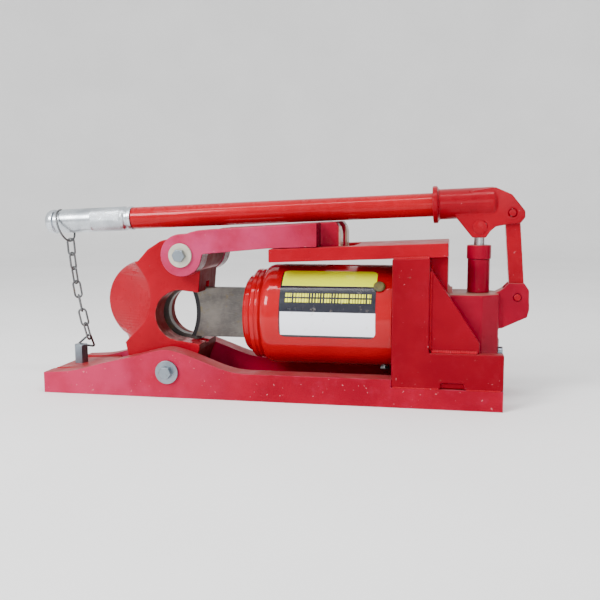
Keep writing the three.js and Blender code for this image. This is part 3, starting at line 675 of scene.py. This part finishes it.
def welds():
    """Ripple beads in the corners of the welded frame."""
    beads = []
    seam = CHEEK_LOW + 0.1
    for s in (-1, 1):
        face = s * (BASE_HALF - 0.9)
        inner = s * (CHEEK_INNER - 0.4)
        beads += [
            ([(460.4, s * 60.2, 66), (460.4, s * 60.2, 152)], 1.6),
            ([(462, s * 60.2, 63.2), (512, s * 60.2, 63.2)], 2.4),
            ([(420, face, seam), (471, face, seam)], 1.3),
            ([(500, face, seam), (538, face, seam)], 1.3),
            ([(419.5, s * 62.2, rail_low(419.5) - 0.2), (459, s * 62.2, rail_low(459) - 0.2)], 1.8),
            ([(4, inner, NOSE_TOP - 2.6), (55, inner, NOSE_TOP - 0.4)], 1.6),
            ([(80, inner, 8.4), (141, inner, 8.4)], 2.0),
            ([(174, inner, 8.4), (418, inner, 8.4)], 2.0),
            ([(461, s * 49.6, 30), (461, s * 49.6, 158)], 1.6),
            ([(479, s * 49.8, 26), (479, s * 49.8, 60)], 1.4),
        ]
    beads.append(([(479.4, -34, 10), (479.4, -34, 122)], 1.8))
    beads.append(([(479.4, 34, 10), (479.4, 34, 122)], 1.8))
    merged = bmesh.new()
    for i, (ends, radius) in enumerate(beads):
        piece = sweep(f"bead_{i}", straight(*ends), radius, sides=9, ripple=0.13, pitch=2.3 + 0.1 * (i % 4))
        merged.from_mesh(piece.data)
        bpy.data.objects.remove(piece)
    mesh = bpy.data.meshes.new("weld_beads")
    merged.to_mesh(mesh)
    merged.free()
    obj = bpy.data.objects.new("weld_beads", mesh)
    bpy.context.scene.collection.objects.link(obj)
    return obj


fit_out(welds(), "base", ENAMEL, smooth=60)


# ---- jack ----
def radial_frame(angle):
    """Turns +z to a direction that stands at an angle above the front horizon."""
    return Matrix.Rotation(math.pi / 2 - angle, 4, "X")


def reservoir():
    seat = CYLINDER_R + GAP
    wall = 4
    turns = [k / 12 * math.pi / 2 for k in range(13)]
    shoulder = [(54 + 5.9 * math.sin(t), RESERVOIR_FROM + 11 * (1 - math.cos(t))) for t in turns]
    end = rounded(
        [shoulder[-1], (RESERVOIR_R, RESERVOIR_TO), (seat, RESERVOIR_TO)], 1.2)
    profile = [(seat, RESERVOIR_FROM), *shoulder, *end[1:], (seat, RESERVOIR_TO - 2 * wall),
               (RESERVOIR_R - wall, RESERVOIR_TO - 2 * wall), (RESERVOIR_R - wall, RESERVOIR_FROM + 12),
               (seat, RESERVOIR_FROM + 12)]
    shell = lathe("reservoir_shell", profile, "X", (0, 0, AXIS_Z), 128)
    holes = [
        lathe("hole", rod(r, 40, 70), radial_frame(angle), (x, 0, AXIS_Z), 48)
        for r, angle, x in ((5.8, PLUG_ANGLE, PLUG_X), (4.3, DRAIN_ANGLE, DRAIN_X))
    ]
    return combine(shell, "DIFFERENCE", *holes)


fit_out(reservoir(), "base", GLOSS, ["reservoir_tube"])

JACK = (0, 0, AXIS_Z)
gland = lathe("gland_collar", loop(
    (RAM_R + 0.6, 243), (43.2, 243), (45.7, 245.5), (45.7, 251), (RAM_R + 0.6, 251), radius=0.9),
    "X", JACK, 128)
fit_out(gland, "base", GLOSS, ["gland_ring"])
nut = lathe("jack_top_nut", loop(
    (RAM_R + 0.6, 251.3), (50.7, 251.3), (53.7, 254.3), (53.7, 258.2), (52.6, 259), (52.6, 260.2),
    (53.7, 261), (53.7, 263), (51.5, 266), (RAM_R + 0.6, 266), radius=0.9), "X", JACK, 128)
fit_out(nut, "base", GLOSS, ["top_nut"])
wiper = lathe("wiper_lip", loop(
    (RAM_R + 0.3, 245.3), (RAM_R + 3.7, 245.3), (RAM_R + 3.7, 248.7), (RAM_R + 0.3, 248.7), radius=0.5),
    "X", JACK, 96)
fit_out(wiper, "base", RUBBER, ["wiper_seal"])
plug = lathe("filler_plug_cap", solid_profile(
    (0, 52), (5.4, 52), (5.4, 60.6), (6.6, 60.6), (6.6, 62), (5, 63.4), (0, 63.0), radius=0.6),
    radial_frame(PLUG_ANGLE), (PLUG_X, 0, AXIS_Z), 64)
fit_out(plug, "filler_plug", RUBBER, ["filler_plug"])
fit_out(copied("drain_screw", "drain_plug", 0.35, 2), "base", CHAIN, ["drain_plug"])

rod_bar = lathe("ram_bar", solid_profile(
    (0, 250.5), (RAM_R - 1.5, 250.5), (RAM_R, 252), (RAM_R, 411.7), (0, 411.7), radius=0.5),
    "X", JACK, 96)
BLADE_HALF = 6
BLADE_PIN = (272, AXIS_Z)
combine(
    rod_bar, "DIFFERENCE", block("slot", 249, 289, -BLADE_HALF - GAP, BLADE_HALF + GAP, 40, 150),
    pin_y("hole", 5.3, -40, 40, BLADE_PIN))
fit_out(rod_bar, "ram", BRIGHT, ["ram"])


BLADE_TIP = 168
BLADE_REACH = 30.2  # half its height
EDGE_DEPTH = 7  # of the hollow in its edge


def blade():
    tall, tip = BLADE_REACH, BLADE_TIP
    nose = [
        (tip + 4 * t * (1 - t) * EDGE_DEPTH, AXIS_Z + tall * (1 - 2 * t))
        for t in [k / 24 for k in range(25)]
    ]
    outline = [(288, AXIS_Z - tall), (288, AXIS_Z + tall), *nose]
    plate = prism("blade_plate", outline, -BLADE_HALF, BLADE_HALF)
    combine(plate, "DIFFERENCE", pin_y("hole", 5.3, -40, 40, BLADE_PIN))
    return bevelled(plate, 0.35, 30, 2)


def blade_paint():
    """Mill scale, with a band of painted shade along the curved edge, on its ground bevel."""
    g = Graph("blade_plate")
    x, _, z = g.parts(g.coord.outputs["Object"])[:3]
    t = g.math("SUBTRACT", z, AXIS_Z * MM)
    curve = g.mul(g.mul(t, t), EDGE_DEPTH / (BLADE_REACH * BLADE_REACH) / MM)
    edge = g.math("SUBTRACT", (BLADE_TIP + EDGE_DEPTH - BASE_LENGTH / 2) * MM, curve)
    behind = g.math("SUBTRACT", x, edge)
    cloud = g.noise(34, 6, 0.62)
    streak = g.noise(240, 4, 0.6, (1, 1, 6))
    color = g.mix(g.ramp(cloud, 0.36, 0.66), (0.15, 0.135, 0.12), (0.088, 0.082, 0.078))
    color = g.mix(g.mul(g.ramp(streak, 0.45, 0.7), 0.35), color, (0.18, 0.17, 0.16))
    rust = g.mul(g.ramp(g.noise(75, 6, 0.7), 0.57, 0.7), 0.6)
    color = g.mix(rust, color, (0.15, 0.11, 0.04))
    # Painted shade: a near-black band just behind the curved edge.
    uneven = g.math("ADD", behind, g.mul(cloud, 0.0012))
    bevel = g.ramp(uneven, 0.0052, 0.0066, 1.0, 0.0)
    color = g.mix(bevel, color, (0.022, 0.022, 0.024))
    g.bump(streak, 0.2, 0.0003)
    return g.finish(color=color, rough=g.ramp(cloud, 0.3, 0.7, 0.36, 0.52), metal=0.85)


fit_out(blade(), "ram", blade_paint(), ["moving_blade"])


# ---- cutting head ----
def head():
    outline = [
        (187, 121), (189.5, 148),
        *arc(UPPER_PIN, 24, -0.9, 2.1), (141, 182.5), (124, 172),
        *arc(BACK, BACK_R, 1.55, 4.38, 48), (96.5, 40), (112, 27),
        *arc(LOWER_PIN, 21, 3.9, 6.28), (187, 52), (187, 58.5),
        *arc(JAW, JAW_R, 2 * math.pi - 1.75, 1.5, 72),
    ]
    body = prism("head_casting", outline, -HEAD_HALF, HEAD_HALF)
    combine(
        body, "UNION",
        pin_y("boss", 22.5, -ARM_INNER + GAP, ARM_INNER - GAP, UPPER_PIN, 96),
        pin_y("boss", 20, GAP - CHEEK_INNER, CHEEK_INNER - GAP, LOWER_PIN, 96))
    far = 80
    slot = BLADE_HALF + GAP
    cuts = [
        block("guide", 118, 200, -slot, slot, AXIS_Z - 38, AXIS_Z + 38),
        pin_y("bore", PIN_R + GAP, -far, far, UPPER_PIN), pin_y("bore", PIN_R + GAP, -far, far, LOWER_PIN),
        prism("seat", sector(20, 36.3), 6, 17.2),
    ]
    cuts += [dressing(s) for s in (-1, 1)]
    combine(body, "DIFFERENCE", *cuts)
    return soften(body, 0.8, 5)


def dressing(side):
    """What is dressed off one side of the head's back, up to a curved crease on its flat face."""
    crease = through(
        [(45, 84), (58, 92), (84, 118.5), (110, 126.8), (134, 123), (157.6, 107), (172, 92)], 8)
    bm = bmesh.new()
    levels = []
    for z, x in crease:
        back = BACK[0] - math.sqrt(max(0, BACK_R ** 2 - (z - BACK[1]) ** 2)) - 1.6
        plan = [(x, HEAD_HALF), (min(back, x - 1), 0), (20, 0), (20, 80), (x, 80)]
        levels.append([bm.verts.new((px, side * py, z)) for px, py in plan])
    for low, top in zip(levels, levels[1:]):
        for k in range(5):
            j = (k + 1) % 5
            bm.faces.new((low[k], low[j], top[j], top[k]))
    bm.faces.new(levels[0][::-1])
    bm.faces.new(levels[-1])
    return as_object("dressing", bm)


def sector(inner, outer):
    opening = 1.15
    around = 2 * math.pi - opening
    return arc(JAW, outer, opening, around, 60) + arc(JAW, inner, around, opening, 60)


fit_out(head(), "head", HEAD, ["cutting_head"], smooth=60)
fixed = bevelled(prism("fixed_knife", sector(28.6, 36), 6.9, 16.9), 0.4, 40, 2)
fit_out(fixed, "head", BLADE, ["fixed_blade"])


# ---- hinge screws and washers ----
def hinge_hardware(word, at, reach, body):
    for side, s in (("front", -1), ("rear", 1)):
        seat = reach + GAP
        ring = [(5, s * seat), (13.8, s * seat), (13.8, s * (seat + 3)), (5, s * (seat + 3))]
        washer = lathe(f"{word}_washer_{side}_disc", loop(*ring, radius=0.5), "Y", (at[0], 0, at[1]), 96)
        fit_out(washer, body, CREAM if word == "upper" else ZINC, [f"{word}_washer_{side}"])
        under = seat + 3 + GAP
        crown_y = under + 6.6
        hexagon = lathe(
            "hex", rod(7.6, s * under, s * crown_y), "Y", (at[0], 0, at[1]), 6, turn=0.4 + 0.3 * s)
        dome = lathe("dome", solid_profile(
            (0, s * (under - 1)), (7.7, s * (under - 1)), (7.7, s * (crown_y - 1.2)), (6.3, s * crown_y),
            (0, s * crown_y), radius=0.5), "Y", (at[0], 0, at[1]), 64)
        combine(hexagon, "INTERSECT", dome)
        bevelled(hexagon, 0.3, 20, 2)
        shank = pin_y("shank", 4.7, s * (reach - 14), s * (under + 1), at, 40)
        screw = combine(hexagon, "UNION", shank)
        screw.name = f"{word}_screw_{side}_hex"
        fit_out(screw, body, ZINC, [f"{word}_screw_{side}"])


hinge_hardware("lower", LOWER_PIN, BASE_HALF, "base")
hinge_hardware("upper", UPPER_PIN, ARM_OUTER, "head")


# ---- latch arm ----
def arm(word, s):
    def span(a, b):
        return (-b, -a) if s < 0 else (a, b)

    top = rail_low(279) + 15.6
    plate = [
        (201, 168.6), (276, top), (334.5, rail_low(334.5) + 15.6), (334.5, 204.3), (203, 196.6),
        (196, 195.9), (188, 194), *arc(UPPER_PIN, EYE_R, 1.4, 6.1, 56),
    ]
    over = rail_low(337) + 15.6
    tooth = [
        (316, over), (337, over), (337, 170.5), (358, 170.5), (358, 192), (356.5, 199),
        (352, 205.2), (316, 203),
    ]
    body = prism(f"{word}_arm_forging", plate, *span(ARM_INNER, ARM_OUTER))
    combine(body, "UNION", prism("tooth", tooth, *span(17, ARM_INNER + 1)))
    combine(
        body, "DIFFERENCE", pin_y("bore", PIN_R + GAP, -80, 80, UPPER_PIN),
        pin_y("tie", 4.3, *span(0, ARM_INNER + 7), TIE))
    return soften(body, 0.8, 5)


for word, s in (("front", -1), ("rear", 1)):
    fit_out(arm(word, s), "arm", ARM, [f"{word}_arm"], smooth=60)
tie = lathe("tie_bar_rod", solid_profile(
    (0, -42), (4, -42), (4, 42), (0, 42), radius=0.8), "Y", (TIE[0], 0, TIE[1]), 64)
fit_out(tie, "arm", ENAMEL, ["arm_tie_bar"])


# ---- pump ----
def pump():
    plan = [(478.8, -35), (516, -35), (535.3, -20), (535.3, 20), (516, 35), (478.8, 35)]
    body = column("pump_casting", plan, 8.3, 124)
    lug = [
        (530, 84), (539, 84), (567, 97.5), (569, 106), (568.4, 128),
        (563, 136), (546, 136), (539, 129), (530, 124),
    ]
    combine(
        body, "UNION", lathe("neck", rod(35.7, 459.9, 483.5), "X", JACK),
        prism("lug", lug, -EAR_OUTER, EAR_OUTER))
    combine(
        body, "DIFFERENCE", block("slot", 540.5, 580, -EAR_INNER, EAR_INNER, 101, 140),
        pin_y("hole", 4.3, -20, 20, LINK_LOW), lathe("bore", rod(6.4, 70, 130), "Z", (PLUNGER_X, 0, 0), 48),
        lathe("valve", rod(4.3, 515, 545), "X", (0, -11, 57), 48))
    return soften(body, 0.9, 6)


fit_out(pump(), "base", PUMP, ["pump_block"], smooth=60)
barrel = lathe("pump_barrel_tube", loop(
    (6.4, 124.4), (12.6, 124.4), (12.6, 162.2), (6.4, 162.2), radius=0.7), "Z", (PLUNGER_X, 0, 0), 72)
fit_out(barrel, "base", PUMP, ["pump_barrel"])
packing_nut = lathe("packing_nut_ring", loop(
    (6.4, 162.5), (13.7, 162.5), (13.7, 178.4), (6.4, 178.4), radius=1.2), "Z", (PLUNGER_X, 0, 0), 72)
fit_out(packing_nut, "base", PUMP, ["packing_nut"])
fit_out(copied("release_screw", "release_valve", 0.4, 2), "release_valve", ZINC, ["release_valve"])


def plunger():
    body = lathe("plunger_rod", rod(6, 90, 196), "Z", (PLUNGER_X, 0, 0), 64)
    combine(body, "UNION", pin_y("eye", 8, -8, 8, (PLUNGER_X, PLUNGER_PIN_Z)))
    combine(body, "DIFFERENCE", pin_y("hole", 4.3, -20, 20, (PLUNGER_X, PLUNGER_PIN_Z)))
    return bevelled(body, 0.4, 30, 2)


fit_out(plunger(), "plunger", BRIGHT, ["plunger"])
for name, body, at, head_r in (
    ("plunger_pin", "plunger", (PLUNGER_X, PLUNGER_PIN_Z), 7.6), ("link_top_pin", "link", LINK_TOP, 0),
    ("link_low_pin", "base", LINK_LOW, 0),
):
    if head_r:
        profile = [
            (0, -PIN_END), (5.6, -PIN_END + 0.15), (head_r, -PIN_END + 0.8), (head_r, -EAR_OUTER - GAP),
            (4, -EAR_OUTER - GAP), (4, EAR_OUTER + GAP), (head_r, EAR_OUTER + GAP), (head_r, PIN_END - 0.8),
            (5.6, PIN_END - 0.15), (0, PIN_END)]
    else:
        profile = solid_profile((0, -PIN_END), (4, -PIN_END), (4, PIN_END), (0, PIN_END), radius=0.9)
    turned = lathe(f"{name}_rivet", profile, "Y", (at[0], 0, at[1]), 64)
    fit_out(turned, body, LEVER, [name])


def link():
    half = 8.2
    bar = prism("link_bar", [
        (LINK_LOW[0] - half, LINK_LOW[1]), (LINK_LOW[0] + half, LINK_LOW[1]),
        (LINK_TOP[0] + half, LINK_TOP[1]), (LINK_TOP[0] - half, LINK_TOP[1])], -7.9, 7.9)
    combine(bar, "UNION", pin_y("eye", 9.5, -7.9, 7.9, LINK_TOP), pin_y("eye", 9.5, -7.9, 7.9, LINK_LOW))
    combine(bar, "DIFFERENCE", pin_y("hole", 4.3, -20, 20, LINK_TOP), pin_y("hole", 4.3, -20, 20, LINK_LOW))
    return soften(bar, 0.6, 4)


fit_out(link(), "link", LEVER, ["link"], smooth=60)


# ---- lever, handle and grip ----
ALONG_HANDLE = (
    Matrix.Translation((HANDLE_AT[0], 0, HANDLE_AT[1])) @ Matrix.Rotation(-HANDLE_RISE, 4, "Y")
    @ Matrix.Translation((-HANDLE_AT[0], 0, 0)) @ AXES["X"])


def on_handle(name, profile, sides=96, ripple=None):
    return lathe(name, profile, ALONG_HANDLE, (0, 0, 0), sides, ripple=ripple)


def lever():
    socket = on_handle("lever_casting", solid_profile(
        (0, 460), (21.3, 460), (21.3, 465.5), (17.3, 467), (17.3, 528), (14.3, 531), (0, 531), radius=0.6))
    fork = prism("fork", rounded([
        (484, 214), (487, 208.5), (504.5, 187), (519.5, 187), (524, 194), (530, 199.5), (540, 201.5),
        (557, 203.5), (562, 210), (561.8, 217), (547, 235.5), (529, 243.5), (505, 240)], 2.5, closed=True),
        -EAR_OUTER, EAR_OUTER)
    combine(socket, "UNION", fork)
    aim = math.atan2(LINK_TOP[1] - PLUNGER_PIN_Z, LINK_TOP[0] - PLUNGER_X)
    slots = [
        pin_y("slot", 4.7, -20, 20, (PLUNGER_X + d * math.cos(aim), PLUNGER_PIN_Z + d * math.sin(aim)), 40)
        for d in (-2, -0.65, 0.7, 2.05, 3.4)
    ]
    combine(
        socket, "DIFFERENCE", block("slot", 495, 580, -EAR_INNER, EAR_INNER, 170, 209.5),
        block("slot", 535.5, 580, -EAR_INNER, EAR_INNER, 170, 228),
        on_handle("bore", rod(HANDLE_R + 0.35, 455, 523)), pin_y("hole", 4.3, -20, 20, LINK_TOP), *slots)
    return soften(socket, 0.8, 5)


fit_out(lever(), "lever", LEVER, ["lever_socket"], smooth=60)
pipe = on_handle("handle_pipe", loop(
    (10.5, 94), (HANDLE_R, 94), (HANDLE_R, 522), (10.5, 522), radius=1.0))
fit_out(pipe, "lever", PIPE, ["handle_tube"])


def grip():
    dome = [
        (0, -21.6), (4, -21.55), (8, -21.2), (11, -20.2), (13.2, -18.4), (14.5, -16), (15, -13.5),
        (15, -10.4), (14.6, -10), (12.9, -9.6), (12.4, -9.2), (12.4, -0.8), (12.9, -0.4), (14.6, 0),
        (15, 0.4),
    ]
    knurl = [(15, x * 0.5) for x in range(84, 161)]
    profile = [
        *dome, (15, 41), (14.6, 41.4), (14.6, 41.9), *knurl, (14.6, 80.6), (14.6, 81.2), (15, 81.6),
        (15, 83.8),
        (13.2, 85.5), (13, 85.9), (13, 88.3), (13.2, 88.7), (14.6, 89.5), (14.6, 93.2), (14.2, 93.6),
        (10.2, 93.6), (10.2, 118), (0, 118),
    ]

    def diamonds(r, along, a):
        if not 42.4 < along < 79.6:
            return 0.0
        pitch = 3.2
        first = math.cos(2 * math.pi * (along + a * 15) / pitch)
        second = math.cos(2 * math.pi * (along - a * 15) / pitch)
        return 0.16 * (first + second) - 0.3

    return on_handle("grip_end", profile, 192, diamonds)


fit_out(grip(), "lever", GRIP, ["grip"], smooth=50)


# ---- stowage chain ----
def chain_point(t):
    return Vector((CHAIN_TOP[0] + 7 * t + 14 * t * t, 0, CHAIN_TOP[1] - t * CHAIN_DROP))


def chain_link(i):
    start, end = chain_point(i / CHAIN_LINKS), chain_point((i + 1) / CHAIN_LINKS)
    radius = LINK_WIDE / 2 - CHAIN_WIRE
    stretch = (start - end).length / 2 + MESHING - radius
    roll = i / (CHAIN_LINKS - 1) * 2.5 * math.pi
    steps = 12
    flat = [(x, z + stretch) for x, z in arc((0, 0), radius, 0, math.pi, steps)]
    flat += [(x, z - stretch) for x, z in arc((0, 0), radius, math.pi, 2 * math.pi, steps)]
    lean = math.atan2(end.x - start.x, start.z - end.z)
    turn = Matrix.Rotation(-lean, 4, "Y") @ Matrix.Rotation(roll, 4, "Z")
    middle = (start + end) / 2
    path = [middle + turn @ Vector((x, 0, z)) for x, z in flat]
    return sweep(f"chain_loop_{i + 1}", path, CHAIN_WIRE, True, 12)


for i in range(CHAIN_LINKS):
    fit_out(chain_link(i), "chain", CHAIN, [f"chain_link_{i + 1}"], smooth=80)


def chain_ring():
    radius, lean = 20.4, 0.3
    turn = Matrix.Rotation(-lean, 4, "Y")
    low = Vector((CHAIN_TOP[0], 0, CHAIN_TOP[1] - MESHING))
    centre = low + Vector((-radius * math.sin(lean), 0, radius * math.cos(lean)))
    round_once = arc((0, 0), radius, 0, 2 * math.pi, 64)[:-1]
    path = [centre + turn @ Vector((0, y, z)) for y, z in round_once]
    return sweep("grip_ring", path, CHAIN_WIRE, True, 12)


fit_out(chain_ring(), "lever", CHAIN, ["chain_ring"], smooth=80)


def hook():
    """A wire triangle with rounded corners; the last link sits in one, the others rest behind the stud."""
    seat = chain_point(1) + Vector((-0.5, 0, MESHING))
    left = Vector((STUD_X - 10, STUD_R + 2.7, STUD_TOP - 2.5))
    right = Vector((STUD_X + 13, STUD_R + 2.7, STUD_TOP - 4.5))
    outward = (seat - (left + right) / 2).normalized()
    a = seat + outward * 7.4
    middle = (a + left + right) / 3
    size = ((a - middle).length + (left - middle).length + (right - middle).length) / 3
    along = (a - middle) / size
    half = (a - middle) * 0.5
    across = (left - middle + half) * (2 / (math.sqrt(3) * size))
    thirds = (0, 2 * math.pi / 3, 4 * math.pi / 3)
    corners = [middle + size * (math.cos(t) * along + math.sin(t) * across) for t in thirds]
    path = []
    for i, corner in enumerate(corners):
        before, after = corners[i - 1], corners[(i + 1) % 3]
        first = corner.lerp(before, 0.16)
        last = corner.lerp(after, 0.16)
        for k in range(9):
            t = k / 8
            path.append((1 - t) ** 2 * first + 2 * t * (1 - t) * corner + t * t * last)
        path += [last.lerp(after.lerp(corner, 0.16), k / 5) for k in range(1, 5)]
    return sweep("stud_hook", path, 1.35, True, 12)


fit_out(hook(), "chain", CHAIN, ["chain_hook"], smooth=80)


# ---- label ----
def label():
    """A thin printed plate wrapped on the reservoir's front, with rounded corners."""
    x0, x1, low, high, corner = 290, 400, -18.6, 63, 7
    r = RESERVOIR_R + 0.22
    tall = math.radians(high - low) * r
    rows = [0, 0.3, 0.8, 1.6, 2.8, 4.4, 6]
    rows += [7 + k * (tall - 14) / 40 for k in range(41)]
    rows += [tall - d for d in (6, 4.4, 2.8, 1.6, 0.8, 0.3, 0)]
    bm = bmesh.new()
    uv = bm.loops.layers.uv.new("UVMap")
    grid = []
    columns = 24
    for d in rows:
        near = min(d, tall - d)
        inset = corner - math.sqrt(max(0, corner ** 2 - (corner - near) ** 2)) if near < corner else 0
        a = math.radians(low) + d / r
        row = []
        for k in range(columns + 1):
            x = x0 + inset + (x1 - x0 - 2 * inset) * k / columns
            vert = bm.verts.new((x, -r * math.cos(a), AXIS_Z + r * math.sin(a)))
            row.append((vert, (x - x0) / (x1 - x0), d / tall))
        grid.append(row)
    for lower, upper in zip(grid, grid[1:]):
        for k in range(columns):
            corners = [lower[k], lower[k + 1], upper[k + 1], upper[k]]
            face = bm.faces.new([c[0] for c in corners])
            for spot, c in zip(face.loops, corners):
                spot[uv].uv = (c[1], c[2])
    plate = as_object("data_label", bm)
    skin = plate.modifiers.new("skin", "SOLIDIFY")
    skin.thickness = 0.4 * MM
    skin.offset = 0
    return settle(plate)


fit_out(label(), "base", LABEL, smooth=40)

# ---- nodes kept as the CAD made them ----
KEPT = {
    "pressure_cylinder": BLADE, "piston": BRIGHT, "piston_seal": RUBBER, "blade_pin": ZINC,
    "check_ball": BRIGHT, "lower_pin": BRIGHT, "upper_pin": BRIGHT,
}
for node, material in KEPT.items():
    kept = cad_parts[node]
    kept.data.materials.clear()
    kept.data.materials.append(material)

# ---- floor, light and camera ----
FLOOR = -0.3
BEND = 1000  # radius of the sweep from floor to wall
SWEEP = [(0, FLOOR), (2500, FLOOR), *arc((2600, BEND + FLOOR), BEND, -math.pi / 2, 0, 16), (3600, 3400)]
paper = Graph("studio_paper")
stage = lathe("studio_sweep", SWEEP, "Z", (BASE_LENGTH / 2, 0, 0), 96)
grey = paper.mix(paper.ramp(paper.noise(3, 3), 0.3, 0.7), (0.86, 0.86, 0.86), (0.9, 0.9, 0.9))
stage.data.materials.append(paper.finish(color=grey, rough=0.8, specular=0.2))
stage.data.shade_smooth()

world = bpy.data.worlds.new("studio")
bpy.context.scene.world = world
world.use_nodes = True
world.node_tree.nodes["Background"].inputs["Color"].default_value = (1, 1, 1, 1)
world.node_tree.nodes["Background"].inputs["Strength"].default_value = 1.25


def softbox(name, at, aim, width, height, watts, color=(1, 1, 1)):
    lamp = bpy.data.lights.new(name, "AREA")
    lamp.shape = "RECTANGLE"
    lamp.size = width
    lamp.size_y = height
    lamp.energy = watts
    lamp.color = color
    obj = bpy.data.objects.new(name, lamp)
    bpy.context.scene.collection.objects.link(obj)
    obj.location = at
    obj.rotation_euler = (Vector(aim) - Vector(at)).to_track_quat("-Z", "Y").to_euler()


softbox("key", (-1.1, -1.6, 1.3), (0, 0, 0.1), 0.7, 0.7, 50)
softbox("strip", (0.1, -0.45, 1.3), (0, 0, 0.1), 1.6, 0.14, 12)
softbox("fill", (0.4, -1.7, 0.5), (0.1, 0, 0.1), 0.6, 0.6, 5)

YAW, PITCH, ROLL = math.radians(11.059), math.radians(6.7575), math.radians(-0.168)
lens = bpy.data.cameras.new("camera")
lens.sensor_width = 36
lens.lens = 798.99 / 600 * 36
camera = bpy.data.objects.new("camera", lens)
bpy.context.scene.collection.objects.link(camera)
right = Vector((math.cos(YAW), math.sin(YAW), 0))
ahead = Vector((-math.sin(YAW) * math.cos(PITCH), math.cos(YAW) * math.cos(PITCH), -math.sin(PITCH)))
above = right.cross(ahead)
turned_frame = Matrix((right, above, -ahead)).transposed().to_4x4()
camera.matrix_world = (
    Matrix.Translation(place(486.72, -937.69, 223.92)) @ turned_frame @ Matrix.Rotation(ROLL, 4, "Z"))
bpy.context.scene.camera = camera
